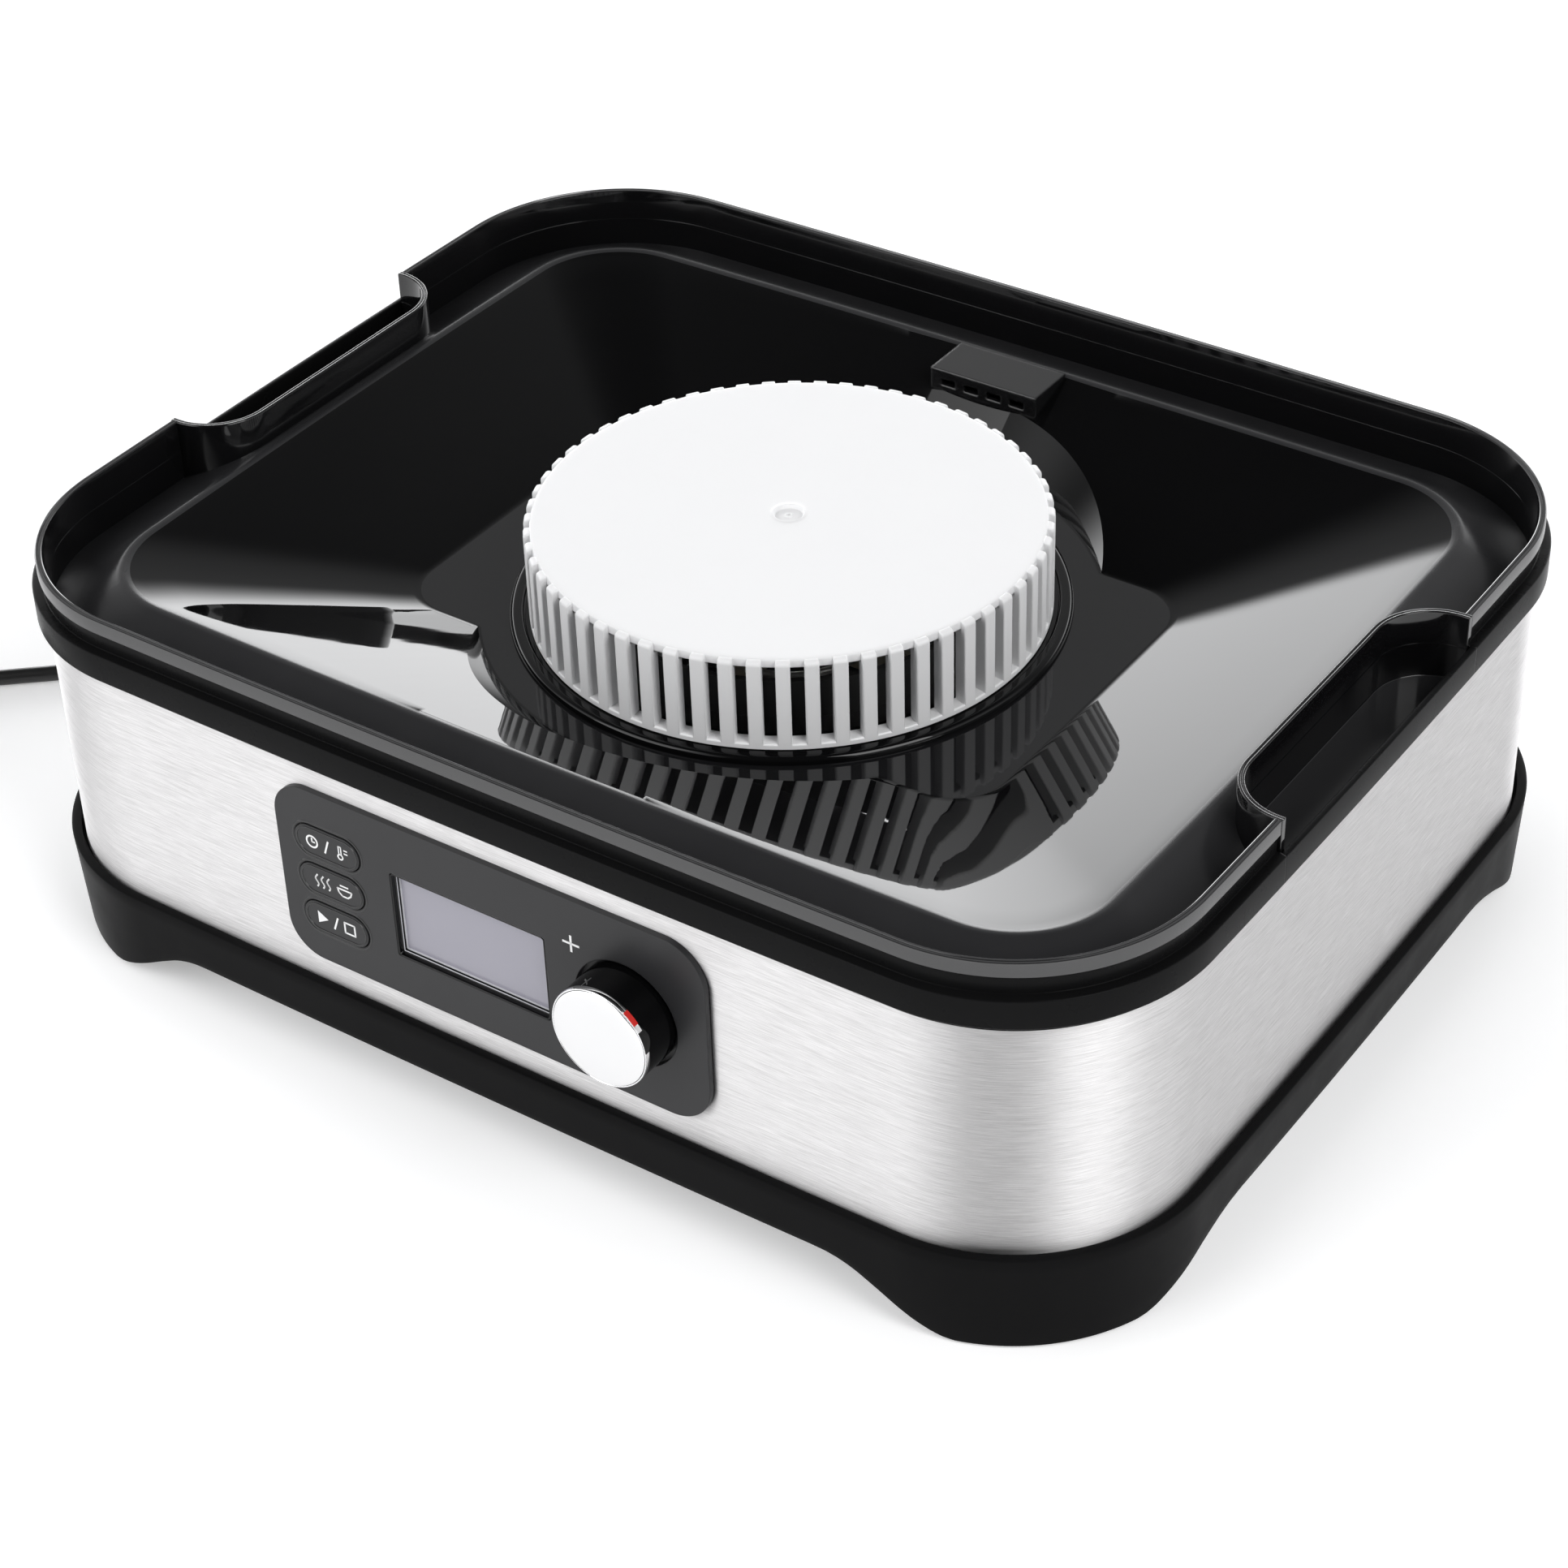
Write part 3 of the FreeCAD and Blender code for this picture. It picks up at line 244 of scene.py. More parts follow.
pts.append((PLUG0[0] - 5 * tdir[0], PLUG0[1] - 5 * tdir[1], 7.3))
pts.append(PLUG0)
cu = bpy.data.curves.new("mains_lead", "CURVE")
cu.dimensions = "3D"
sp = cu.splines.new("NURBS")
sp.points.add(len(pts) - 1)
for i, p in enumerate(pts):
    sp.points[i].co = (p[0] * MM, p[1] * MM, p[2] * MM, 1)
sp.order_u = 3
sp.use_endpoint_u = True
sp.resolution_u = 8
cu.bevel_depth = CORD_D * MM / 2
cu.bevel_resolution = 6
lead = bpy.data.objects.new("mains_lead", cu)
coll.objects.link(lead)
cu.materials.append(M["lead"])
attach(lead, "housing")
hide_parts("power_cord", "cord_coil")


# ---------------------------------------------------------------- mesh tools
def add_mesh(name, verts, faces, mats, smooth=True, mat_idx=None, body="housing"):
    me = bpy.data.meshes.new(name)
    me.from_pydata([(x * MM, (y + SHIFT) * MM, z * MM) for x, y, z in verts], [], faces)
    for mt in mats:
        me.materials.append(mt)
    me.validate()
    if mat_idx:
        for p, i in zip(me.polygons, mat_idx):
            p.material_index = i
    for p in me.polygons:
        p.use_smooth = smooth
    ob = bpy.data.objects.new(name, me)
    coll.objects.link(ob)
    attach(ob, body)
    return ob


def recalc(ob):
    bm = bmesh.new()
    bm.from_mesh(ob.data)
    bmesh.ops.remove_doubles(bm, verts=bm.verts, dist=1e-7)
    bmesh.ops.recalc_face_normals(bm, faces=bm.faces)
    bm.to_mesh(ob.data)
    bm.free()


def sharp(ob, deg=35):
    bm = bmesh.new()
    bm.from_mesh(ob.data)
    lim = math.radians(deg)
    for e in bm.edges:
        e.smooth = len(e.link_faces) == 2 and e.calc_face_angle(0) < lim
    bm.to_mesh(ob.data)
    bm.free()


def lathe(name, prof, mats, n=128, axis="Z", centre=(0, 0, 0), closed=True, idx=None, body="housing", deg=30, smooth=True):
    """prof: (radius, height) list. axis Z: height is z; axis Y: height is -y (towards the front)."""
    verts, faces, mi = [], [], []
    for j in range(n):
        a = 2 * math.pi * j / n
        for r, h in prof:
            if axis == "Z":
                verts.append((centre[0] + r * math.cos(a), centre[1] + r * math.sin(a), h))
            else:
                verts.append((centre[0] + r * math.cos(a), -h, centre[2] + r * math.sin(a)))
    k = len(prof)
    cnt = k if closed else k - 1
    for j in range(n):
        j2 = (j + 1) % n
        for i in range(cnt):
            i2 = (i + 1) % k
            faces.append((j * k + i, j2 * k + i, j2 * k + i2, j * k + i2))
            mi.append(idx[i] if idx else 0)
    ob = add_mesh(name, verts, faces, mats, smooth, mi, body)
    bm = bmesh.new(); bm.from_mesh(ob.data)
    bmesh.ops.remove_doubles(bm, verts=bm.verts, dist=1e-7)
    bmesh.ops.dissolve_degenerate(bm, edges=bm.edges, dist=1e-7)
    bmesh.ops.recalc_face_normals(bm, faces=bm.faces)
    bm.to_mesh(ob.data); bm.free()
    sharp(ob, deg)
    return ob


def outline_fn(a, b, bow, r):
    """Returns radius(theta, inset) of the bowed rectangle with tangent corner arcs."""
    rf = (a * a + bow * bow) / (2 * bow)
    cf = -(b + bow) + rf
    rr = (b * b + bow * bow) / (2 * bow)
    cr = (a + bow) - rr
    d1, d2 = rf - r, rr - r
    gap = math.hypot(cr, cf)
    ex, ey = cr / gap, -cf / gap
    al = (d1 * d1 - d2 * d2 + gap * gap) / (2 * gap)
    off = math.sqrt(max(d1 * d1 - al * al, 0.0))
    px, py = ex * al, cf + ey * al
    kx, ky = px - off * ey, py + off * ex
    if not (kx > 0 and ky < 0):
        kx, ky = px + off * ey, py - off * ex
    af = math.atan2(ky - cf, kx)
    ar = math.atan2(ky, kx - cr)

    def hit(ux, uy, cx, cy, rad):
        q = ux * cx + uy * cy
        return q + math.sqrt(max(q * q - cx * cx - cy * cy + rad * rad, 0.0))

    def radius(theta, inset=0.0):
        ux, uy = abs(math.cos(theta)), -abs(math.sin(theta))
        tf = math.atan2(cf + (rf - inset) * math.sin(af), (rf - inset) * math.cos(af))
        tr = math.atan2((rr - inset) * math.sin(ar), cr + (rr - inset) * math.cos(ar))
        th = math.atan2(uy, ux)
        if th < tf:
            return hit(ux, uy, 0.0, cf, rf - inset)
        if th > tr:
            return hit(ux, uy, cr, 0.0, rr - inset)
        return hit(ux, uy, kx, ky, r - inset)

    return radius


A, B, BOW, RC = 200.0, 158.1, 1.87, 62.2
BODY = outline_fn(A, B, BOW, RC)
TRAY = outline_fn(A, B, BOW, 62.3)
CREST = outline_fn(172.03, 130.13, BOW, 32.2)


def thetas(n_side=44, n_corner=44):
    """Angles dense at the corners, the same for every ring."""
    out_ = []
    q = [(0.0, 0.18, 4), (0.18, 0.32, 20), (0.32, 1.0, 96), (1.0, math.pi / 2, 16)]
    for lo, hi, n in q:
        for i in range(n):
            out_.append(lo + (hi - lo) * i / n)
    full = []
    for k4 in range(4):
        if k4 == 0:
            full += out_
        elif k4 == 1:
            full += [math.pi - t for t in reversed(out_[1:] + [math.pi / 2])]
        elif k4 == 2:
            full += [math.pi + t for t in out_]
        else:
            full += [2 * math.pi - t for t in reversed(out_[1:] + [math.pi / 2])]
    full = sorted(set(round(t % (2 * math.pi), 9) for t in full))
    return full


TH = thetas()


def ring_mesh(name, rings, mats, closed=False, idx=None, deg=30, body="housing", smooth=True, th=None):
    """rings: list of functions theta -> (r, z). Joined in order round the object."""
    th = th or TH
    n, k = len(th), len(rings)
    verts, faces, mi = [], [], []
    for t in th:
        for f in rings:
            r, z = f(t)
            verts.append((r * math.cos(t), r * math.sin(t), z))
    cnt = k if closed else k - 1
    for j in range(n):
        j2 = (j + 1) % n
        for i in range(cnt):
            i2 = (i + 1) % k
            faces.append((j * k + i, j2 * k + i, j2 * k + i2, j * k + i2))
            mi.append(idx[i] if idx else 0)
    ob = add_mesh(name, verts, faces, mats, smooth, mi, body)
    bm = bmesh.new(); bm.from_mesh(ob.data)
    bmesh.ops.remove_doubles(bm, verts=bm.verts, dist=1e-7)
    bmesh.ops.dissolve_degenerate(bm, edges=bm.edges, dist=2e-7)
    bmesh.ops.recalc_face_normals(bm, faces=bm.faces)
    bm.to_mesh(ob.data); bm.free()
    sharp(ob, deg)
    return ob


def ring(fn, inset, z):
    return lambda t: (fn(t, inset), z)


# ------------------------------------------------ the funnel deck (inside the rim)
WELL, PL, CL = 97.0, 104.5, 125.8
_cache = {}


def slope_ring(z):
    key = round(z, 4)
    if key not in _cache:
        f = (z - PL) / (CL - PL)
        _cache[key] = outline_fn(106 + (172.03 - 0.8 - 106) * f, 63 + (130.13 - 0.8 - 63) * f, 0.3 + (BOW - 0.3) * f, 17 + (31.4 - 17) * f)
    return _cache[key]


def well_meet(t):
    """Height at which the flared well meets the slope on this bearing."""
    if slope_ring(PL)(t) >= WELL:
        return PL
    lo_, hi_ = PL, CL
    for _ in range(14):
        mid = (lo_ + hi_) / 2
        if slope_ring(round(mid * 50) / 50)(t) < WELL + (mid - PL):
            lo_ = mid
        else:
            hi_ = mid
    return (lo_ + hi_) / 2


fine = []
for q in range(4):
    for i in range(150):
        fine.append(q * math.pi / 2 + math.pi / 2 * i / 150)
for i in range(61):
    a_ = math.radians(11.4 + 5.6 * i / 60)
    fine += [a_, math.pi - a_, math.pi + a_, 2 * math.pi - a_]
fine = sorted(set(round(t, 7) for t in fine))
MEET = {t: well_meet(t) for t in fine}


def deck_point(t, s):
    """s 0..1 well foot to well lip, 1..2 slope from lip to crest."""
    zm = MEET[t]
    if s <= 1:
        z = PL + (zm - PL) * s
        if zm <= PL + 1e-6:
            return (max(WELL, slope_ring(PL)(t)), PL)
        return (WELL + (z - PL), z)
    z = zm + (CL - zm) * (s - 1)
    zz = round(z * 200) / 200
    if zm > PL + 1e-6 and s < 1.0005:
        return (WELL + (z - PL), z)
    return (slope_ring(zz)(t), z)


rings = [lambda t: (70.0, 101.5), lambda t: (70.0, PL - 0.3), lambda t: (70.3, PL), lambda t: (84.0, PL)]
rings += [lambda t: (max(WELL, slope_ring(PL)(t)) - 0.8 if MEET[t] <= PL + 1e-6 else WELL - 0.8, PL)]
for s in (0.0, 0.12, 0.5, 0.88, 1.0):
    rings.append(lambda t, s=s: deck_point(t, s))
for s in (1.02, 1.1, 1.25, 1.4, 1.55, 1.7, 1.85, 1.95):
    rings.append(lambda t, s=s: deck_point(t, s))
# soft crest, then the trough
CR = outline_fn(172.03, 130.13, BOW, 32.2)
for ins, dz in ((2.0, -0.42), (0.9, -0.12), (0.0, 0.0), (-0.9, -0.10), (-2.0, -0.42)):
    rings.append(lambda t, i=ins, d=dz: (CR(t, i), CL + d))
GX, GS, GR, GW = 179.8, 38.0, 18.0, 2.2


def grip_hit(t, grow):
    """Distance along this bearing to the grip wall's face, grown inwards."""
    ux, uy = abs(math.cos(t)), abs(math.sin(t))
    if ux < 0.5:
        return 1e9
    x0, gc, rad = GX - grow, GX + GR, GR + grow
    r_ = x0 / ux
    if r_ * uy <= GS:
        return r_
    q = ux * gc + uy * GS
    disc = q * q - gc * gc - GS * GS + rad * rad
    if disc >= 0:
        r_ = q - math.sqrt(disc)
        if r_ * uy <= GS + rad and r_ * ux <= gc:
            return r_
    return 1e9


def trough(t, f):
    r0, r1 = CR(t, -2.0), BODY(t, 4.3)
    r = r0 + (r1 - r0) * f
    r = min(r, grip_hit(t, GW - 0.6))
    g_ = (r - r0) / (r1 - r0)
    return (r, (CL - 0.42) + (115.5 - CL + 0.42) * g_)


for f in (0.25, 0.5, 0.75, 0.92, 1.0):
    rings.append(lambda t, f=f: trough(t, f))
kinds = []
for i in range(len(rings) - 1):
    # 0 gloss slope and well, 1 satin flat, crest and trough
    kinds.append(2 if i < 4 else (1 if i >= 18 else 0))
deck_top = ring_mesh("deck_funnel", rings, [M["gloss"], M["satin"], M["plateau"]], idx=kinds, deg=24, th=fine)
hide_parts("deck_pan")

# ------------------------------------------------------------ rim, flange, grips
TG = math.asin(57.6 / BODY(math.radians(16), 3.4))
RIM = [(2.8, 113.4), (2.8, 115.9), (0.35, 115.9), (0.0, 116.25), (0.0, 125.1), (0.12, 125.38), (0.4, 125.5), (3.31, 125.5), (3.31, 131.4),
       (2.42, 131.4), (2.31, 131.6), (2.31, 135.75), (2.42, 136.05), (2.7, 136.2), (3.15, 136.2), (3.3, 135.95), (3.55, 135.95), (3.7, 136.2),
       (4.2, 136.2), (4.48, 136.05), (4.58, 135.75), (4.58, 125.45), (4.66, 125.3), (4.66, 115.2), (4.66, 113.4)]
LOW = [(2.8, 113.4), (2.8, 115.9), (0.35, 115.9), (0.0, 116.25), (0.0, 125.1), (0.12, 125.38), (0.4, 125.5), (1.6, 125.5), (1.88, 125.38),
       (2.0, 125.1), (2.0, 118.3), (5.0, 118.2), (5.0, 113.4)]


def arc_sweep(name, prof, t0, t1, n, caps=True, mats=None, deg=28, idx=None):
    verts, faces, mi = [], [], []
    k = len(prof)
    base = [t for t in TH if t0 + 1e-4 < (t if t >= t0 - 1e-9 else t + 2 * math.pi) < t1 - 1e-4]
    lst = sorted([t if t >= t0 else t + 2 * math.pi for t in base])
    lst = [t0] + lst + [t1]
    for t in lst:
        for ins, z in prof:
            r = BODY(t, ins)
            verts.append((r * math.cos(t), r * math.sin(t), z))
    for j in range(len(lst) - 1):
        for i in range(k):
            i2 = (i + 1) % k
            faces.append((j * k + i, (j + 1) * k + i, (j + 1) * k + i2, j * k + i2))
            mi.append(idx[i] if idx else 0)
    if caps:
        faces.append(tuple(range(k)))
        faces.append(tuple((len(lst) - 1) * k + i for i in reversed(range(k))))
        mi += [0, 0]
    ob = add_mesh(name, verts, faces, mats or [M["deck"]], True, mi, "housing")
    recalc(ob)
    sharp(ob, deg)
    return ob


sat = [1 if 0 <= i <= 7 else 0 for i in range(len(RIM))]
for i in (8, 9):
    sat[i] = 1
# The upper outer face and top of the rim take the lighter band material as painted highlight for the lit band. The
# lower wall keeps the darker flange black.
for i in (10, 11, 12, 13, 14, 15, 16, 17, 18):
    sat[i] = 2
rim_back = arc_sweep("deck_rim_back", RIM, TG, math.pi - TG, 0, mats=[M["deck"], M["flange"], M["rimband"]], idx=sat)
rim_front = arc_sweep("deck_rim_front", RIM, math.pi + TG, 2 * math.pi - TG, 0, mats=[M["deck"], M["flange"], M["rimband"]], idx=sat)
low_left = arc_sweep("deck_flange_left", LOW, math.pi - TG, math.pi + TG, 0, mats=[M["flange"]])
low_right = arc_sweep("deck_flange_right", LOW, -TG + 2 * math.pi, TG + 2 * math.pi, 0, mats=[M["flange"]])
for o in (rim_back, rim_front, low_left, low_right):
    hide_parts("deck_rim")


def grip_wall(side):
    # plan path of the pocket-side face, from the rear end to the front end
    path = []
    def push(x, y, nx, ny):
        path.append((x, y, nx, ny))
    gc = GX + GR
    push(199.45, GS + GR, 0, -1)
    push(gc, GS + GR, 0, -1)
    for i in range(1, 25):
        a_ = math.pi / 2 + (math.pi / 2) * i / 24
        push(gc + GR * math.cos(a_), GS + GR * math.sin(a_), -math.cos(a_), -math.sin(a_))
    for i in range(1, 6):
        push(GX, GS - 2 * GS * i / 6, 1, 0)
    for i in range(0, 25):
        a_ = math.pi + (math.pi / 2) * i / 24
        push(gc + GR * math.cos(a_), -GS + GR * math.sin(a_), -math.cos(a_), -math.sin(a_))
    push(199.45, -(GS + GR), 0, 1)
    # offset towards the pocket, height
    prof = [(0.0, 113.0), (0.0, 125.3), (-0.08, 125.45), (-0.08, 135.75), (-0.17, 136.05), (-0.42, 136.2), (-0.85, 136.2), (-1.0, 135.95), (-1.2, 135.95),
            (-1.35, 136.2), (-1.8, 136.2), (-2.08, 136.05), (-2.2, 135.75), (-2.2, 113.0)]
    verts, faces = [], []
    k = len(prof)
    for x, y, nx, ny in path:
        for o_, z in prof:
            verts.append((side * (x + nx * o_), y + ny * o_, z))
    n_ = len(path)
    for j in range(n_ - 1):
        for i in range(k):
            i2 = (i + 1) % k
            faces.append((j * k + i, (j + 1) * k + i, (j + 1) * k + i2, j * k + i2))
    faces.append(tuple(range(k)))
    faces.append(tuple((n_ - 1) * k + i for i in reversed(range(k))))
    mi = [0] * len(faces)
    # pocket floor, slightly dished towards the wall
    b0 = len(verts)
    nx_, ny_ = 10, 24
    for i in range(nx_ + 1):
        for j in range(ny_ + 1):
            u, v_ = i / nx_, j / ny_
            x = 179.0 + (197.5 - 179.0) * u
            y = -57 + 114 * v_
            verts.append((side * x, y, 113.8 + 0.12 * (2 * abs(v_ - 0.5)) ** 4))
    for i in range(nx_):
        for j in range(ny_):
            q = b0 + i * (ny_ + 1) + j
            faces.append((q, q + 1, q + ny_ + 2, q + ny_ + 1))
            mi.append(1)
    nm = "grip_right" if side > 0 else "grip_left"
    ob = add_mesh(nm, verts, faces, [M["deck"], M["satin"]], True, mi, "housing")
    recalc(ob)
    sharp(ob, 28)
    return ob


gr_ = grip_wall(1)
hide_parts("right_grip_wall")
gl_ = grip_wall(-1)
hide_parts("left_grip_wall")

# ------------------------------------------------------------------ steel band
steel_prof = [(3.02, 31.2), (3.02, 50.0), (3.02, 100.0), (3.02, 117.3), (3.82, 117.3), (3.82, 100.0), (3.82, 50.0), (3.82, 31.2)]
steel_o = ring_mesh("steel_wall", [ring(BODY, i, z) for i, z in steel_prof], [M["steel"]], closed=True, deg=40)
bm = bmesh.new()
bm.from_mesh(steel_o.data)
gone = []
for f in bm.faces:
    c = f.calc_center_median()
    if c.y < -0.1 and 0.0505 < c.z < 0.0995 and -0.0680 < c.x < 0.0725:
        gone.append(f)
bmesh.ops.delete(bm, geom=gone, context="FACES")
bm.to_mesh(steel_o.data)
bm.free()
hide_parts("steel_band")

# -------------------------------------------------------------------- base tray
FA = [(0, 17.7), (112, 17.7), (117, 17.55), (121, 16.9), (125, 15.7), (128, 14.4), (134, 11.3), (140, 8.0), (146, 4.9), (151, 2.7), (154, 1.6), (157.5, 0.9), (400, 0.8)]
SA = [(0, 16.4), (74, 16.4), (80, 15.9), (86, 14.6), (94, 11.9), (100, 9.3), (106, 6.5), (111, 4.2), (115, 2.4), (118, 1.4), (121, 0.9), (400, 0.8)]


def table_at(tb, v):
    for (x0, z0), (x1, z1) in zip(tb, tb[1:]):
        if v <= x1:
            return z0 + (z1 - z0) * (v - x0) / (x1 - x0)
    return tb[-1][1]


def foot_z(t):
    r = TRAY(t, 0)
    x, y = abs(r * math.cos(t)), abs(r * math.sin(t))
    zf = table_at(FA, x) if y > 100 else 0.8
    zs = table_at(SA, y) if x > 150 else 0.8
    return max(zf, zs)


def tray_out(z):
    return 0.46 - (0.46 + 1.28) * (z - 0.8) / 34.2


def tray_pt(kind):
    def f(t):
        zb = foot_z(t)
        if kind[0] == "z":
            z = kind[1]
            return (TRAY(t, tray_out(z) + kind[2]), z)
        if kind[0] == "mid":
            z = zb + (26.0 - zb) * kind[1]
            return (TRAY(t, tray_out(z)), z)
        if kind[0] == "bot":
            return (TRAY(t, tray_out(zb) + kind[1]), zb + kind[2])
        if kind[0] == "in":
            return (TRAY(t, kind[1]), kind[2])
    return f


tr = [("in", 3.9, 31.0), ("in", 1.95, 31.0), ("in", 1.9, 31.1), ("in", 1.9, 34.6), ("in", 1.5, 34.95), ("in", 1.2, 35.0), ("z", 35.0, 0.5), ("z", 34.86, 0.15), ("z", 34.5, 0.0),
      ("z", 30.0, 0.0), ("z", 26.0, 0.0), ("mid", 0.6, 0), ("mid", 0.3, 0), ("mid", 0.06, 0), ("bot", 0.12, 0.12), ("bot", 0.45, 0.0), ("bot", 3.3, 0.0), ("bot", 3.7, 0.2)]
base_rings = [tray_pt(k_) for k_ in tr]
base_rings.append(lambda t: (TRAY(t, 4.2), max(foot_z(t) + 0.5, 0.8 + 0.5)))
base_rings.append(lambda t: (TRAY(t, 4.3), 17.85))
base_rings.append(lambda t: (TRAY(t, 30), 17.8))
base_rings.append(lambda t: (90.0, 17.8))
base_rings.append(lambda t: (58.4, 17.8))
base_rings.append(lambda t: (58.0, 18.2))
base_rings.append(lambda t: (58.0, 20.3))
tray_o = ring_mesh("lower_tray", base_rings, [M["base"]], closed=False, deg=32)
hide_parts("base_tray", "leg_front_left", "leg_front_right", "leg_rear_left", "leg_rear_right")
for i, (sx, sy) in enumerate(((1, 1), (-1, 1), (1, -1), (-1, -1))):
    cx_, cy_ = 168 * sx, 127 * sy
    b_ = lathe("foot_boss_%d" % i, [(6.6, 2.02), (7.2, 1.7), (7.8, 1.8), (8.0, 2.2), (8.6, 17.9), (7.0, 17.9), (6.4, 3.0)], [M["base"]], n=40, centre=(cx_, cy_, 0))
    p_ = lathe("foot_pad_%d" % i, [(0.01, 0.0), (6.2, 0.0), (6.9, 0.35), (7.0, 0.7), (6.6, 2.0), (0.01, 2.0)], [M["pads"]], n=40, centre=(cx_, cy_, 0), closed=False)
    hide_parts("rubber_feet")

# ---------------------------------------------------------------------- the cap
CAPR = 81.0
disc = lathe("cap_plate", [(0.01, 134.2), (0.45, 134.2), (0.55, 135.5), (0.75, 135.72), (1.15, 135.72), (1.5, 135.4), (3.3, 135.15), (4.1, 135.1), (4.35, 135.3), (4.6, 136.05), (4.85, 136.3), (5.2, 136.3), (5.55, 136.16), (6.0, 136.13), (7.5, 136.13), (40, 136.13), (77.0, 136.13), (78.2, 136.12), (78.5, 136.08),
                           (78.85, 135.95), (79.0, 135.6), (79.0, 133.5), (70, 133.5), (0.01, 133.5)], [M["cap"]], n=240, closed=False, deg=30)
foot_ring = lathe("cap_foot", [(76.4, 105.6), (80.6, 105.5), (81.0, 105.8), (81.0, 107.2), (80.7, 107.6), (76.4, 107.6)], [M["cap"]], n=240, deg=30)
verts, faces = [], []
HW = 2.05
for kk in range(60):
    a0 = math.radians(6 * kk + 3)
    ca, sa = math.cos(a0), math.sin(a0)
    prof = [(76.4, 106.8), (81.0, 106.8), (81.0, 134.6), (80.86, 135.25), (80.45, 135.75), (79.8, 136.03), (79.2, 136.09), (78.6, 136.09), (78.6, 132.5), (76.4, 132.5)]
    b0 = len(verts)
    for sgn in (-1, 1):
        for r, z in prof:
            # slot sides are parallel, so each rib tapers inwards
            half_w = r * math.tan(math.radians(3)) - HW
            verts.append((r * ca - sgn * half_w * sa, r * sa + sgn * half_w * ca, z))
    k = len(prof)
    faces.append(tuple(b0 + i for i in range(k)))
    faces.append(tuple(b0 + k + i for i in reversed(range(k))))
    for i in range(k):
        i2 = (i + 1) % k
        faces.append((b0 + i, b0 + k + i, b0 + k + i2, b0 + i2))
ribs = add_mesh("cap_ribs", verts, faces, [M["cap"]], True, None, "housing")
recalc(ribs)
bv = ribs.modifiers.new("edge", "BEVEL")
bv.width = 0.00035
bv.segments = 2
bv.limit_method = "ANGLE"
bv.angle_limit = math.radians(50)
sharp(ribs, 50)
for o in (disc, foot_ring, ribs):
    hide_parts("air_diffuser_cap")

col_prof = [(71.0, 104.55), (87.0, 104.5), (87.2, 104.75), (87.1, 105.6), (86.6, 106.5), (85.8, 106.95), (84.9, 107.0), (83.4, 106.95), (83.0, 106.6), (82.7, 105.6), (82.3, 105.3), (71.0, 105.3)]
collar = lathe("outlet_collar_ring", col_prof, [M["gloss"]], n=200, deg=34)
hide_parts("outlet_collar")

# ------------------------------------------------------------------------ knob
KX, KZ = 51.25, 73.6
kn = lathe("knob_sleeve", [(3.2, 157.0), (14.8, 157.0), (16.0, 157.0), (16.34, 157.3), (16.34, 169.6), (16.34, 169.75), (16.34, 171.0), (16.2, 171.4), (15.95, 171.5), (15.8, 171.3), (15.78, 170.6), (3.2, 170.6)],
           [M["gloss"], M["chrome"]], n=128, axis="Y", centre=(KX, 0, KZ), body="knob", idx=[0, 0, 0, 0, 0, 1, 1, 1, 1, 1, 0, 0])
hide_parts("knob_body")
kd = lathe("knob_disc", [(0.01, 171.9), (9.0, 171.9), (14.6, 171.86), (15.3, 171.74), (15.65, 171.45), (15.7, 171.1), (15.7, 170.65), (0.01, 170.65)],
           [M["chrome"]], n=128, axis="Y", centre=(KX, 0, KZ), body="knob", closed=False)
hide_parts("knob_face")


def patch(name, loops, y, depth, mats, body):
    """Flat marks: closed (x, z) outlines with a small thickness, standing at front distance y."""
    verts, faces = [], []
    for lp in loops:
        b0 = len(verts)
        n_ = len(lp)
        for d in (y, y + depth):
            for x, z in lp:
                verts.append((x, -d, z))
        faces.append(tuple(b0 + n_ + i for i in range(n_)))
        faces.append(tuple(b0 + i for i in reversed(range(n_))))
        for i in range(n_):
            i2 = (i + 1) % n_
            faces.append((b0 + i, b0 + i2, b0 + n_ + i2, b0 + n_ + i))
    ob = add_mesh(name, verts, faces, mats, False, None, body)
    recalc(ob)
    return ob


def band_on_rim(name, a0, a1, y0, y1, mt, r=16.42):
    lp = []
    verts, faces = [], []
    n_ = 14
    for i in range(n_ + 1):
        a_ = math.radians(a0 + (a1 - a0) * i / n_)
        for rr_, yy in ((r, y0), (r, y1), (r - 0.25, y1), (r - 0.25, y0)):
            verts.append((KX + rr_ * math.cos(a_), -yy, KZ + rr_ * math.sin(a_)))
    for i in range(n_):
        for j in range(4):
            j2 = (j + 1) % 4
            faces.append((i * 4 + j, (i + 1) * 4 + j, (i + 1) * 4 + j2, i * 4 + j2))
    faces.append((0, 1, 2, 3))
    faces.append(tuple(n_ * 4 + i for i in (3, 2, 1, 0)))
    ob = add_mesh(name, verts, faces, [mt], True, None, "knob")
    recalc(ob)
    sharp(ob, 40)
    return ob


band_on_rim("knob_mark_red", 38, 55, 169.7, 171.4, M["red"], 16.42)
band_on_rim("knob_mark_black", 6, 30, 169.7, 171.4, M["gloss"], 16.42)

# ----------------------------------------------------------- marks on the panel
def circle_loop(cx, cz, r, n_=28):
    return [(cx + r * math.cos(2 * math.pi * i / n_), cz + r * math.sin(2 * math.pi * i / n_)) for i in range(n_)]


def ring_loops(cx, cz, r, w, n_=28):
    out_ = []
    for i in range(n_):
        a0, a1 = 2 * math.pi * i / n_, 2 * math.pi * (i + 1) / n_
        out_.append([(cx + r * math.cos(a0), cz + r * math.sin(a0)), (cx + r * math.cos(a1), cz + r * math.sin(a1)),
                     (cx + (r - w) * math.cos(a1), cz + (r - w) * math.sin(a1)), (cx + (r - w) * math.cos(a0), cz + (r - w) * math.sin(a0))])
    return out_


